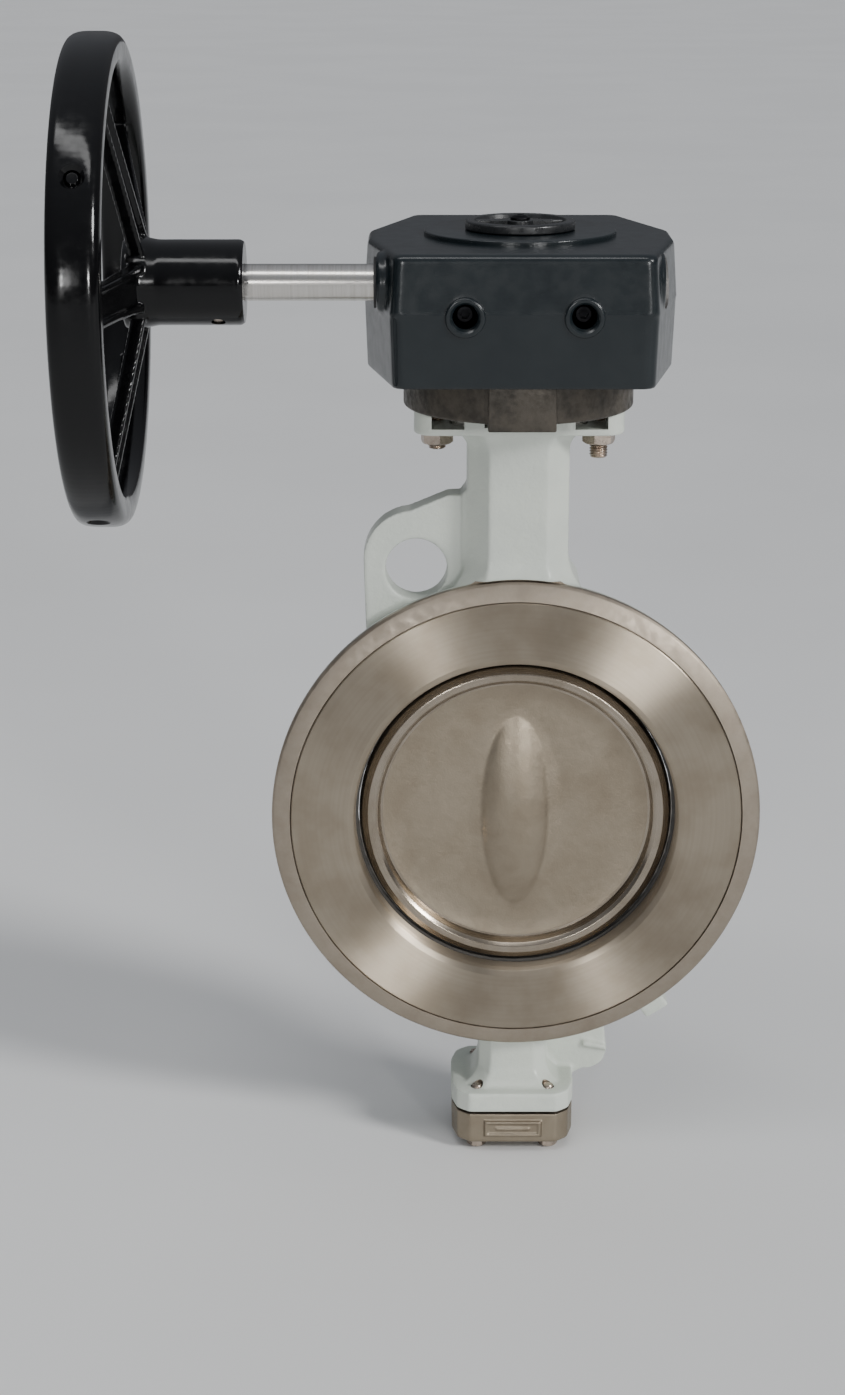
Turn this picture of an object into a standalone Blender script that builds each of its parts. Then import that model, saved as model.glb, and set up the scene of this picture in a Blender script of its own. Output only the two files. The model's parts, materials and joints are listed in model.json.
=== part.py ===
"""Wafer butterfly valve, DN 150, with a worm gear operator and a handwheel.

Frame: X to the right, Y along the pipe and away from the front face, Z up. The origin is where the pipe axis
meets the stem axis. All lengths are in metres, and MM turns a length in millimetres into metres.
"""

import math

import bmesh
import bpy
from mathutils import Matrix, Vector

MM = 0.001
GAP = 0.3 * MM

# Valve body and bore
FACE_Y = -28 * MM
REAR_Y = 28 * MM
BODY_R = 108 * MM
BORE_R = 73 * MM
RETAINER_R = 99.5 * MM
RETAINER_BORE_R = 71 * MM
RETAINER_BACK_Y = -18 * MM
SEAT_R = 69.9 * MM
SEAT_OUTER_R = 85 * MM
DISC_R = 69.5 * MM
DISC_SEAL_Y = -15 * MM
DISC_FACE_Y = -21 * MM
DISC_PIN_Z = 45 * MM

# Stem line
STEM_R = 10 * MM
STEM_TOP_Z = 236 * MM
STEM_BOTTOM_Z = -112 * MM
BUSH_R = 13 * MM
PACKING_R = 16 * MM
PACKING_Z = 141 * MM
PACKING_RINGS = 4
PACKING_HEIGHT = 5 * MM

# Neck, top flange, lug and bottom flange
NECK_HALF = 22 * MM
NECK_FACET_HALF = 12.6 * MM
FLANGE_LOW_Z = 171.9 * MM
FLANGE_PLATE_Z = 176 * MM
FLANGE_TOP_Z = 181 * MM
FLANGE_HALF_X = 45 * MM
FLANGE_HALF_Y = 24 * MM
GLAND_POCKET_Z = 172.7 * MM
GLAND_BOLT_X = 24.5 * MM
STUD_X = 35 * MM
WINDOW_X = (23.5 * MM, 37.5 * MM)
WINDOW_Z = 174.5 * MM
LUG_HOLE = (-44 * MM, 110 * MM)
LUG_HOLE_R = 13.5 * MM
LUG_Y = (-10 * MM, 4 * MM)
FOOT_TOP_Z = -132.5 * MM
FOOT_LOW_Z = -141.3 * MM
COVER_TOP_Z = -142.9 * MM
COVER_LOW_Z = -157 * MM
COVER_SCREW = (16.3 * MM, 18.5 * MM)
TOE_ANGLE = math.radians(-33.5)

# Gear operator
HOUSING_LOW_Z = 199.5 * MM
HOUSING_PARTING_Z = 230 * MM
HOUSING_TOP_Z = 254 * MM
HOUSING_WALL = 5 * MM
CEILING_Z = 251.2 * MM
HOUSING_CORNERS = [(54 * MM, -68 * MM), (66 * MM, -12 * MM), (66 * MM, 14 * MM), (47 * MM, 70 * MM)]
PAD_R = 40.7 * MM
PAD_TOP_Z = 256 * MM
BASE_R = 49.5 * MM
LID_Z = (199.8 * MM, 204.8 * MM)
SHAFT_Y = -45 * MM
SHAFT_Z = 240 * MM
SHAFT_R = 7.5 * MM
WORM_PITCH_R = 9 * MM
WHEEL_TEETH = 40
MODULE = 1.8 * MM
WHEEL_PITCH_R = WHEEL_TEETH * MODULE / 2
WORM_PITCH = math.pi * MODULE
WHEEL_Z = (233 * MM, 247 * MM)
QUADRANT_LOW_Z = 222 * MM
QUADRANT_R = 32 * MM
SLEEVE_R = 17 * MM
SLEEVE_Z = (184 * MM, 255 * MM)
BOSS_X = (-61.5 * MM, 59.8 * MM)
STOP_X = 24.1 * MM
STOP_Z = 229 * MM
STOP_R = 3.8 * MM
BASE_SCREW = (42 * MM, 43 * MM)

# Handwheel
HUB_X = (-163 * MM, -114 * MM)
SHAFT_END_X = HUB_X[0] + 4 * MM
HUB_R = 17.4 * MM
RIM_X = -172.4 * MM
RIM_R = 100 * MM
RIM_RADIAL = 14 * MM
RIM_AXIAL_HALF = 10.6 * MM
SPOKES = 5
PIN_X = -124.5 * MM
PIN_TILT = math.radians(30)

# Sides of round pieces
LARGE_SIDES = 44
RIM_SIDES = 40
MEDIUM_SIDES = 24
SMALL_SIDES = 18
FLARE_SIDES = 16
HEX = 6
SCREW_SIDES = 12

PARTS = "butterfly_valve"
CUTTERS = "cutters"
X_AXIS, Y_AXIS, Z_AXIS = "X", "Y", "Z"
TO_AXIS = {
    X_AXIS: Matrix.Rotation(math.pi / 2, 4, "Y"),
    Y_AXIS: Matrix.Rotation(-math.pi / 2, 4, "X"),
    Z_AXIS: Matrix.Identity(4),
}


# ---------------------------------------------------------------- scene, materials and shapes

def clear_scene():
    for obj in list(bpy.data.objects):
        bpy.data.objects.remove(obj)
    for name in (PARTS, CUTTERS):
        made = bpy.data.collections.new(name)
        bpy.context.scene.collection.children.link(made)


def material(name, colour, roughness, metallic):
    made = bpy.data.materials.new(name)
    made.use_nodes = True
    shader = made.node_tree.nodes["Principled BSDF"]
    shader.inputs["Base Color"].default_value = (*colour, 1)
    shader.inputs["Roughness"].default_value = roughness
    shader.inputs["Metallic"].default_value = metallic
    made.diffuse_color = (*colour, 1)
    return made


def finishes():
    """The material of each kind of surface, by name."""
    return {
        "body_paint": material("body_paint", (0.44, 0.49, 0.45), 0.45, 0),
        "turned_steel": material("turned_steel", (0.42, 0.38, 0.33), 0.28, 1),
        "cast_steel": material("cast_steel", (0.30, 0.26, 0.22), 0.5, 1),
        "bright_steel": material("bright_steel", (0.62, 0.60, 0.57), 0.2, 1),
        "fastener_steel": material("fastener_steel", (0.45, 0.38, 0.32), 0.35, 1),
        "black_oxide": material("black_oxide", (0.03, 0.03, 0.032), 0.4, 0.8),
        "cast_iron": material("cast_iron", (0.09, 0.075, 0.06), 0.6, 0.4),
        "operator_paint": material("operator_paint", (0.012, 0.02, 0.022), 0.25, 0),
        "black_gloss": material("black_gloss", (0.006, 0.006, 0.007), 0.12, 0),
        "black_plastic": material("black_plastic", (0.012, 0.012, 0.013), 0.4, 0),
        "ptfe": material("ptfe", (0.75, 0.74, 0.70), 0.5, 0),
        "graphite": material("graphite", (0.05, 0.05, 0.055), 0.6, 0),
        "bronze": material("bronze", (0.42, 0.26, 0.10), 0.35, 1),
        "rubber": material("rubber", (0.015, 0.015, 0.015), 0.7, 0),
    }


def put(obj, finish=None):
    """Files an object under the parts, or, without a finish, under the cutters."""
    if finish is None:
        bpy.data.collections[CUTTERS].objects.link(obj)
        obj.hide_render = True
        obj.display_type = "WIRE"
        return obj
    bpy.data.collections[PARTS].objects.link(obj)
    obj.data.materials.clear()
    obj.data.materials.append(finish)
    if obj.type == "MESH":
        obj.data.shade_smooth()
        obj.data.set_sharp_from_angle(angle=math.radians(30))
    return obj


def from_bmesh(name, shape, finish=None):
    bmesh.ops.recalc_face_normals(shape, faces=shape.faces)
    mesh = bpy.data.meshes.new(name)
    shape.to_mesh(mesh)
    shape.free()
    return put(bpy.data.objects.new(name, mesh), finish)


def bar(name, radius, start, end, axis, finish=None, across=(0, 0), sides=MEDIUM_SIDES, tip=None):
    """A round or many-sided bar from start to end along an axis. across is where that axis passes."""
    shape = bmesh.new()
    length = end - start
    end_radius = radius if tip is None else tip
    bmesh.ops.create_cone(
        shape, cap_ends=True, segments=sides, radius1=radius, radius2=end_radius, depth=length
    )
    centre = (start + end) / 2
    offset = {
        X_AXIS: Vector((centre, across[0], across[1])),
        Y_AXIS: Vector((across[0], centre, across[1])),
        Z_AXIS: Vector((across[0], across[1], centre)),
    }[axis]
    shape.transform(Matrix.Translation(offset) @ TO_AXIS[axis])
    return from_bmesh(name, shape, finish)


def placed_bar(name, radius, low, high, place, finish=None):
    """A round bar from low to high along the Z direction of a placing matrix."""
    shape = bmesh.new()
    bmesh.ops.create_cone(
        shape, cap_ends=True, segments=SCREW_SIDES, radius1=radius, radius2=radius, depth=high - low
    )
    shape.transform(place @ Matrix.Translation((0, 0, (low + high) / 2)))
    return from_bmesh(name, shape, finish)


def block(name, low, high, finish=None, turn=None):
    shape = bmesh.new()
    bmesh.ops.create_cube(shape, size=1)
    size = [b - a for a, b in zip(low, high)]
    middle = [(a + b) / 2 for a, b in zip(low, high)]
    shape.transform(Matrix.Translation(middle) @ Matrix.Diagonal((*size, 1)))
    if turn is not None:
        shape.transform(turn)
    return from_bmesh(name, shape, finish)


def turned(name, profile, axis, finish=None, across=(0, 0), steps=MEDIUM_SIDES):
    """A profile of (radius, place along the axis) points swept round an axis.

    The points run down the outer side, from the far end of the axis to the near one. A profile that starts
    and ends on the axis makes a solid, and any other is closed into a ring.
    """
    solid = profile[0][0] == 0 and profile[-1][0] == 0
    mesh = bpy.data.meshes.new(name)
    count = len(profile)
    edges = [(i, i + 1) for i in range(count - 1)]
    if not solid:
        edges.append((count - 1, 0))
    mesh.from_pydata([(radius, 0, along) for radius, along in profile], edges, [])
    obj = bpy.data.objects.new(name, mesh)
    place = {
        X_AXIS: Vector((0, across[0], across[1])),
        Y_AXIS: Vector((across[0], 0, across[1])),
        Z_AXIS: Vector((across[0], across[1], 0)),
    }[axis]
    obj.matrix_world = Matrix.Translation(place) @ TO_AXIS[axis]
    screw = obj.modifiers.new("turn", "SCREW")
    screw.steps = steps
    screw.render_steps = steps
    screw.use_merge_vertices = True
    screw.merge_threshold = 0.00001
    screw.use_smooth_shade = True
    return put(obj, finish)


def ring(name, inner, outer, low, high, axis, finish=None, across=(0, 0), steps=SMALL_SIDES):
    profile = [(inner, high), (outer, high), (outer, low), (inner, low)]
    return turned(name, profile, axis, finish, across, steps)


def rounded(corners, radius, segments=2):
    """The outline with an arc at each corner, as (x, y) points."""
    points = []
    count = len(corners)
    for i, corner in enumerate(corners):
        here = Vector(corner)
        back = (Vector(corners[i - 1]) - here).normalized()
        ahead = (Vector(corners[(i + 1) % count]) - here).normalized()
        half = back.angle(ahead) / 2
        centre = here + (back + ahead).normalized() * radius / math.sin(half)
        first = here + back * radius / math.tan(half) - centre
        last = here + ahead * radius / math.tan(half) - centre
        sweep = first.angle_signed(last)
        for k in range(segments + 1):
            angle = -sweep * k / segments
            turned_by = Matrix.Rotation(angle, 2) @ first
            points.append(tuple(centre + turned_by))
    return points


def plate(name, outline, low, high, axis, finish=None):
    """A flat outline with a thickness from low to high along an axis.

    The outline's points are (x, y) for Z, (x, z) for Y and (y, z) for X.
    """
    curve = bpy.data.curves.new(name, "CURVE")
    curve.dimensions = "2D"
    curve.fill_mode = "BOTH"
    curve.extrude = (high - low) / 2
    spline = curve.splines.new("POLY")
    spline.points.add(len(outline) - 1)
    for point, place in zip(spline.points, outline):
        point.co = (place[0], place[1], 0, 1)
    spline.use_cyclic_u = True
    drawn = bpy.data.objects.new(name, curve)
    bpy.context.scene.collection.objects.link(drawn)
    middle = (low + high) / 2
    swapped = Matrix(((0, 0, 1, 0), (1, 0, 0, 0), (0, 1, 0, 0), (0, 0, 0, 1)))
    drawn.matrix_world = {
        Z_AXIS: Matrix.Translation((0, 0, middle)),
        Y_AXIS: Matrix.Translation((0, middle, 0)) @ Matrix.Rotation(math.pi / 2, 4, "X"),
        X_AXIS: Matrix.Translation((middle, 0, 0)) @ swapped,
    }[axis]
    bpy.context.view_layer.update()
    graph = bpy.context.evaluated_depsgraph_get()
    mesh = bpy.data.meshes.new_from_object(drawn.evaluated_get(graph))
    matrix = drawn.matrix_world.copy()
    bpy.data.objects.remove(drawn)
    shape = bmesh.new()
    shape.from_mesh(mesh)
    bpy.data.meshes.remove(mesh)
    shape.transform(matrix)
    bmesh.ops.remove_doubles(shape, verts=shape.verts, dist=0.000001)
    return from_bmesh(name, shape, finish)


def combine(target, other, operation):
    modifier = target.modifiers.new(other.name, "BOOLEAN")
    modifier.operation = operation
    modifier.solver = "EXACT"
    modifier.object = other


def cut(target, *cutters):
    for cutter in cutters:
        combine(target, cutter, "DIFFERENCE")


def join(target, *others):
    for other in others:
        combine(target, other, "UNION")


def drill(target, radius, start, end, axis, across=(0, 0), sides=SCREW_SIDES):
    """Cuts a round or many-sided hole from start to end along an axis."""
    cut(target, bar(f"{target.name}_hole", radius, start, end, axis, across=across, sides=sides))


def corners_of(half_x, half_y):
    return [(-half_x, -half_y), (half_x, -half_y), (half_x, half_y), (-half_x, half_y)]


def octagon(half, facet):
    quarter = [(facet, -half), (half, -facet), (half, facet), (facet, half)]
    return quarter + [(-x, -y) for x, y in quarter]


# ---------------------------------------------------------------- valve

def body_ring_profile():
    """From the rear rim forwards over the outside. The bore is cut afterwards."""
    return [
        (91 * MM, REAR_Y),
        (92.5 * MM, 26.5 * MM),
        (96.5 * MM, 12 * MM),
        (97 * MM, -9 * MM),
        (106 * MM, -14.5 * MM),
        (BODY_R, -16.5 * MM),
        (BODY_R, -24 * MM),
        (107 * MM, -25.2 * MM),
        (RETAINER_R + 0.5 * MM, FACE_Y),
        (62 * MM, FACE_Y),
        (62 * MM, REAR_Y),
    ]


def body_bore_profile():
    """The hollow through the body, from behind: the bore, the groove, and the seat's and ring's steps."""
    return [
        (0, REAR_Y + 1 * MM),
        (BORE_R + 2.5 * MM, REAR_Y + 1 * MM),
        (BORE_R, 26.5 * MM),
        (BORE_R, -14.2 * MM),
        (75.6 * MM, -14.2 * MM),
        (75.6 * MM, -12 * MM),
        (79.4 * MM, -12 * MM),
        (79.4 * MM, -14.2 * MM),
        (SEAT_OUTER_R + GAP, -14.2 * MM),
        (SEAT_OUTER_R + GAP, -16.7 * MM),
        (RETAINER_R + GAP, -16.7 * MM),
        (RETAINER_R + GAP, FACE_Y - 1 * MM),
        (0, FACE_Y - 1 * MM),
    ]


def body_outside():
    """The pieces of the body's outside that are joined to its ring."""
    neck = plate("neck", octagon(NECK_HALF, NECK_FACET_HALF), 90 * MM, FLANGE_PLATE_Z - 1 * MM, Z_AXIS)
    neck_foot = bar("neck_foot", 29 * MM, 88 * MM, 101 * MM, Z_AXIS, sides=FLARE_SIDES, tip=22.5 * MM)
    shoulder_top = FLANGE_LOW_Z + 1 * MM
    shoulder = bar("neck_shoulder", 22 * MM, 162 * MM, shoulder_top, Z_AXIS, sides=FLARE_SIDES, tip=27 * MM)
    flange_outline = rounded(corners_of(FLANGE_HALF_X, FLANGE_HALF_Y), 9 * MM)
    flange = plate("top_flange", flange_outline, FLANGE_LOW_Z, FLANGE_TOP_Z, Z_AXIS)
    lug_outline = [
        (-10 * MM, 92 * MM),
        (-10 * MM, 143.5 * MM),
        (-30 * MM, 143 * MM),
        *lug_shoulder(),
        (-66 * MM, 80 * MM),
        (-50 * MM, 76 * MM),
    ]
    lug = plate("lifting_lug", lug_outline, *LUG_Y, Y_AXIS)
    stub = plate("foot_stub", octagon(15.5 * MM, 10 * MM), -138 * MM, -92 * MM, Z_AXIS)
    flare_z = (FOOT_TOP_Z - 1 * MM, FOOT_TOP_Z + 5 * MM)
    stub_flare = bar("foot_flare", 24 * MM, *flare_z, Z_AXIS, sides=FLARE_SIDES, tip=16 * MM)
    foot = plate("foot", foot_outline(), FOOT_LOW_Z, FOOT_TOP_Z, Z_AXIS)
    ear_outline = [
        (10 * MM, -92 * MM),
        (10 * MM, -138 * MM),
        (27 * MM, -138 * MM),
        (31.5 * MM, -134.5 * MM),
        (38 * MM, -133.5 * MM),
        (42.5 * MM, -130.5 * MM),
        (44.5 * MM, -125 * MM),
        (43 * MM, -112 * MM),
        (44 * MM, -84 * MM),
    ]
    ear = plate("foot_ear", ear_outline, 4 * MM, 15 * MM, Y_AXIS)
    toe_turn = Matrix.Rotation(TOE_ANGLE, 4, "Y")
    toe = block("body_toe", (-6 * MM, -6 * MM, -121 * MM), (6 * MM, 6 * MM, -90 * MM), turn=toe_turn)
    return neck, neck_foot, shoulder, flange, lug, stub, stub_flare, foot, ear, toe


def lug_shoulder():
    """The large arc at the lug's outer top corner."""
    centre = (-45 * MM, 114 * MM)
    radius = 22 * MM
    return [
        (centre[0] + radius * math.cos(math.radians(a)), centre[1] + radius * math.sin(math.radians(a)))
        for a in range(95, 186, 15)
    ]


def foot_outline():
    """The foot and its cover share this outline: flat in front and behind, round at the sides."""
    half = [(20 * MM, -27 * MM), (25.5 * MM, -22 * MM), (28 * MM, -12 * MM)]
    right = half + [(x, -y) for x, y in reversed(half)]
    return right + [(-x, -y) for x, y in right]


def top_flange_cutters():
    """The pocket under the gear operator, its side windows, the gland's pocket and the base tab's notch."""
    gland_outline = rounded(corners_of(30 * MM, 13 * MM), 6 * MM)
    gland_pocket = plate("gland_pocket", gland_outline, GLAND_POCKET_Z, FLANGE_TOP_Z, Z_AXIS)
    pocket_outline = corners_of(39.5 * MM, 16.5 * MM)
    top_pocket = plate("top_pocket", pocket_outline, FLANGE_PLATE_Z, FLANGE_TOP_Z + 1 * MM, Z_AXIS)
    low, high = WINDOW_Z, FLANGE_TOP_Z + 1 * MM
    reach = FLANGE_HALF_Y + 1 * MM
    near, far = WINDOW_X
    window_left = block("window_left", (-far, -reach, low), (-near, reach, high))
    window_right = block("window_right", (near, -reach, low), (far, reach, high))
    tab_notch = block("tab_notch", (-15 * MM, -30 * MM, 175.2 * MM), (15 * MM, -16 * MM, 182 * MM))
    return gland_pocket, top_pocket, window_left, window_right, tab_notch


def drill_body(body):
    drill(body, STEM_R + 0.4 * MM, 60 * MM, 178 * MM, Z_AXIS, sides=MEDIUM_SIDES)
    drill(body, BUSH_R + GAP, 60 * MM, 112 * MM, Z_AXIS, sides=MEDIUM_SIDES)
    drill(body, PACKING_R + GAP, PACKING_Z - GAP, GLAND_POCKET_Z + 1 * MM, Z_AXIS, sides=MEDIUM_SIDES)
    drill(body, BUSH_R + GAP, -145 * MM, -60 * MM, Z_AXIS, sides=MEDIUM_SIDES)
    drill(body, LUG_HOLE_R, LUG_Y[0] - 2 * MM, LUG_Y[1] + 2 * MM, Y_AXIS, LUG_HOLE, MEDIUM_SIDES)
    for side in (-1, 1):
        drill(body, 4.4 * MM, 160 * MM, 180 * MM, Z_AXIS, (side * STUD_X, 0))
        drill(body, 2.7 * MM, 160 * MM, 175 * MM, Z_AXIS, (side * GLAND_BOLT_X, 0))
    for at in corner_places(*COVER_SCREW):
        drill(body, 2.8 * MM, -145 * MM, -125 * MM, Z_AXIS, at)


def corner_places(x, y):
    return [(-x, -y), (x, -y), (x, y), (-x, y)]


def valve_body(finish):
    body = turned("valve_body", body_ring_profile(), Y_AXIS, finish["body_paint"], steps=LARGE_SIDES)
    join(body, *body_outside())
    cut(body, turned("body_bore", body_bore_profile(), Y_AXIS, steps=LARGE_SIDES), *top_flange_cutters())
    drill_body(body)


def seat_parts(finish):
    retainer = [
        (RETAINER_BORE_R, RETAINER_BACK_Y),
        (RETAINER_R, RETAINER_BACK_Y),
        (RETAINER_R, FACE_Y + 0.6 * MM),
        (RETAINER_R - 0.6 * MM, FACE_Y),
        (RETAINER_BORE_R + 2.6 * MM, FACE_Y),
        (RETAINER_BORE_R + 0.8 * MM, FACE_Y + 0.8 * MM),
        (RETAINER_BORE_R, FACE_Y + 2.6 * MM),
    ]
    turned("retainer_ring", retainer, Y_AXIS, finish["turned_steel"], steps=LARGE_SIDES)
    for name, radii, places, kind in (
        ("retainer_gasket", (88 * MM, 98 * MM), (-17.7 * MM, -17 * MM), "graphite"),
        ("seat_ring", (SEAT_R, SEAT_OUTER_R), (-17.7 * MM, -14.5 * MM), "ptfe"),
        ("seat_energiser", (76 * MM, 79 * MM), (-14.2 * MM, -12.3 * MM), "bright_steel"),
    ):
        ring(name, *radii, *places, Y_AXIS, finish[kind], steps=LARGE_SIDES)


def disc_profile():
    """From the axis behind, outwards over the sealing edge, and in across the dished front."""
    return [
        (0, -9 * MM),
        (58 * MM, -9 * MM),
        (66.5 * MM, -10.5 * MM),
        (69 * MM, -13 * MM),
        (DISC_R, DISC_SEAL_Y),
        (68.5 * MM, -18 * MM),
        (66.8 * MM, -20.4 * MM),
        (65 * MM, DISC_FACE_Y),
        (62.5 * MM, -20.8 * MM),
        (61 * MM, -19 * MM),
        (60 * MM, -15.4 * MM),
        (57 * MM, -14.5 * MM),
        (0, -14.5 * MM),
    ]


def disc(finish):
    plate_part = turned("disc", disc_profile(), Y_AXIS, finish["cast_steel"], steps=LARGE_SIDES)
    hub = bar("disc_hub", 14.3 * MM, -64 * MM, 64 * MM, Z_AXIS)
    bulge = bmesh.new()
    bmesh.ops.create_uvsphere(bulge, u_segments=MEDIUM_SIDES, v_segments=SCREW_SIDES, radius=1)
    bulge.transform(Matrix.Translation((0, -9.5 * MM, 0)) @ Matrix.Diagonal((17 * MM, 11 * MM, 48 * MM, 1)))
    join(plate_part, hub, from_bmesh("disc_bulge", bulge))
    cut(plate_part, bar("disc_stem_bore", STEM_R + GAP, -70 * MM, 70 * MM, Z_AXIS))
    pins = []
    for side, name in ((1, "disc_pin_upper"), (-1, "disc_pin_lower")):
        at = (0, side * DISC_PIN_Z)
        drill(plate_part, 3.3 * MM, -12.4 * MM, 20 * MM, Y_AXIS, at)
        pins.append(bar(name, 3 * MM, -12 * MM, 15.2 * MM, Y_AXIS, finish["bright_steel"], at, SCREW_SIDES))
    return plate_part, pins


def stem(finish):
    key_z = (212 * MM, 234 * MM)
    shaft = turned(
        "stem",
        [
            (0, STEM_TOP_Z),
            (STEM_R - 1 * MM, STEM_TOP_Z),
            (STEM_R, STEM_TOP_Z - 1 * MM),
            (STEM_R, STEM_BOTTOM_Z + 1 * MM),
            (STEM_R - 1 * MM, STEM_BOTTOM_Z),
            (0, STEM_BOTTOM_Z),
        ],
        Z_AXIS,
        finish["bright_steel"],
    )
    for z in (-DISC_PIN_Z, DISC_PIN_Z):
        drill(shaft, 3.3 * MM, -15 * MM, 15 * MM, Y_AXIS, (0, z))
    keyway = block("keyway", (6.7 * MM, -3.3 * MM, key_z[0] - GAP), (12 * MM, 3.3 * MM, key_z[1] + GAP))
    cut(shaft, keyway)
    key_low, key_high = (7 * MM, -3 * MM, key_z[0]), (12.7 * MM, 3 * MM, key_z[1])
    key = block("stem_key", key_low, key_high, finish["bright_steel"])
    return shaft, key


def stem_supports(finish):
    """The bushes, packing, gland and lower thrust washer that the stem turns in."""
    bore = STEM_R + GAP
    ring("upper_bush", bore, BUSH_R, 80 * MM, 111.6 * MM, Z_AXIS, finish["bronze"])
    ring("lower_bush", bore, BUSH_R, -111 * MM, -80 * MM, Z_AXIS, finish["bronze"])
    bar("thrust_washer", 12.6 * MM, -115.4 * MM, -112.3 * MM, Z_AXIS, finish["bronze"])
    for i in range(PACKING_RINGS):
        low = PACKING_Z + i * (PACKING_HEIGHT + GAP)
        ring(f"packing_ring_{i + 1}", bore, PACKING_R, low, low + PACKING_HEIGHT, Z_AXIS, finish["graphite"])
    follower_low = PACKING_Z + PACKING_RINGS * (PACKING_HEIGHT + GAP)
    ring("gland_bush", bore, PACKING_R, follower_low, 172.7 * MM, Z_AXIS, finish["bright_steel"])
    gland_outline = rounded(corners_of(29.6 * MM, 12.6 * MM), 6 * MM)
    gland = plate("gland_flange", gland_outline, 173 * MM, 177 * MM, Z_AXIS, finish["bright_steel"])
    drill(gland, STEM_R + 0.5 * MM, 170 * MM, 180 * MM, Z_AXIS, sides=MEDIUM_SIDES)
    for side, name in ((-1, "gland_bolt_left"), (1, "gland_bolt_right")):
        at = (side * GLAND_BOLT_X, 0)
        drill(gland, 2.7 * MM, 170 * MM, 180 * MM, Z_AXIS, at)
        hex_bolt(name, at, (168 * MM, 178 * MM), (177.3 * MM, 180.7 * MM), 2.4 * MM, 4.5 * MM, finish)


def hex_bolt(name, at, shank_z, head_z, shank_r, head_r, finish):
    head = bar(name, head_r, *head_z, Z_AXIS, finish["fastener_steel"], at, HEX)
    join(head, bar(f"{name}_shank", shank_r, *shank_z, Z_AXIS, across=at, sides=SCREW_SIDES))


def bottom_cover(finish):
    ring("bottom_gasket", 14 * MM, 21 * MM, -142.6 * MM, -141.6 * MM, Z_AXIS, finish["graphite"])
    cover = plate("bottom_cover", foot_outline(), COVER_LOW_Z, COVER_TOP_Z, Z_AXIS, finish["cast_steel"])
    spigot = bar("cover_spigot", BUSH_R - 0.2 * MM, -145 * MM, -115.7 * MM, Z_AXIS)
    front_pad = block("cover_pad", (-13 * MM, -27.8 * MM, -153.5 * MM), (13 * MM, -26 * MM, -146 * MM))
    join(cover, spigot, front_pad)
    for i, at in enumerate(corner_places(*COVER_SCREW)):
        drill(cover, 2.8 * MM, -160 * MM, -140 * MM, Z_AXIS, at)
        shank_z = (COVER_LOW_Z - 1 * MM, FOOT_TOP_Z + 1.2 * MM)
        head_z = (COVER_LOW_Z - 4 * MM, COVER_LOW_Z - GAP)
        hex_bolt(f"cover_screw_{i + 1}", at, shank_z, head_z, 2.5 * MM, 4.6 * MM, finish)


# ---------------------------------------------------------------- gear operator

def housing_outline(inset=0):
    """Seen from above, the housing is widest near the stem and narrows in straight lines to both ends."""
    corners = HOUSING_CORNERS + [(-x, y) for x, y in reversed(HOUSING_CORNERS)]
    half_x = max(x for x, _ in corners)
    half_y = max(y for _, y in corners)
    narrower = 1 - inset / half_x
    shorter = 1 - inset / half_y
    return rounded([(x * narrower, y * shorter) for x, y in corners], max(6 * MM - inset, 2 * MM))


def tapered_shell(name, levels, finish=None):
    """A solid through copies of the housing's outline, each a (height, scale) level."""
    shape = bmesh.new()
    outline = housing_outline()
    rows = [[shape.verts.new((x * scale, y * scale, z)) for x, y in outline] for z, scale in levels]
    for low, high in zip(rows, rows[1:]):
        for i in range(len(low)):
            k = (i + 1) % len(low)
            shape.faces.new((low[i], low[k], high[k], high[i]))
    shape.faces.new(list(reversed(rows[0])))
    shape.faces.new(rows[-1])
    return from_bmesh(name, shape, finish)


def gear_housing(finish):
    levels = [
        (HOUSING_LOW_Z, 0.978),
        (HOUSING_LOW_Z + 1.5 * MM, 0.985),
        (HOUSING_PARTING_Z, 1),
        (HOUSING_TOP_Z - 4 * MM, 0.985),
        (HOUSING_TOP_Z - 1 * MM, 0.965),
        (HOUSING_TOP_Z, 0.94),
    ]
    housing = tapered_shell("gear_housing", levels, finish["operator_paint"])
    cavity_z = (HOUSING_LOW_Z - 1 * MM, CEILING_Z)
    cut(housing, plate("housing_cavity", housing_outline(HOUSING_WALL), *cavity_z, Z_AXIS))
    line = (SHAFT_Y, SHAFT_Z)
    bosses = [
        bar("shaft_boss_left", 13.2 * MM, BOSS_X[0], -29 * MM, X_AXIS, across=line),
        bar("shaft_boss_right", 13.2 * MM, 29 * MM, BOSS_X[1], X_AXIS, across=line),
        bar("top_pad", PAD_R, HOUSING_TOP_Z - 1 * MM, PAD_TOP_Z, Z_AXIS, sides=LARGE_SIDES),
    ]
    base_screws = corner_places(*BASE_SCREW)
    stops = [(-STOP_X, STOP_Z), (STOP_X, STOP_Z)]
    for at in base_screws:
        bosses.append(bar("screw_boss", 7 * MM, 205.5 * MM, 252 * MM, Z_AXIS, across=at, sides=SCREW_SIDES))
    for at in stops:
        bosses.append(bar("stop_boss", 9 * MM, -69 * MM, -54 * MM, Y_AXIS, across=at))
    join(housing, *bosses)
    drill(housing, 10.8 * MM, -70 * MM, 70 * MM, X_AXIS, line, MEDIUM_SIDES)
    drill(housing, SLEEVE_R + 0.4 * MM, 245 * MM, 260 * MM, Z_AXIS, sides=MEDIUM_SIDES)
    for at in base_screws:
        drill(housing, 3.3 * MM, 198 * MM, 220 * MM, Z_AXIS, at)
    for at in stops:
        drill(housing, STOP_R + GAP, -72 * MM, -52 * MM, Y_AXIS, at, SMALL_SIDES)
        drill(housing, 6 * MM, -72 * MM, -66 * MM, Y_AXIS, at, SMALL_SIDES)


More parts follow.
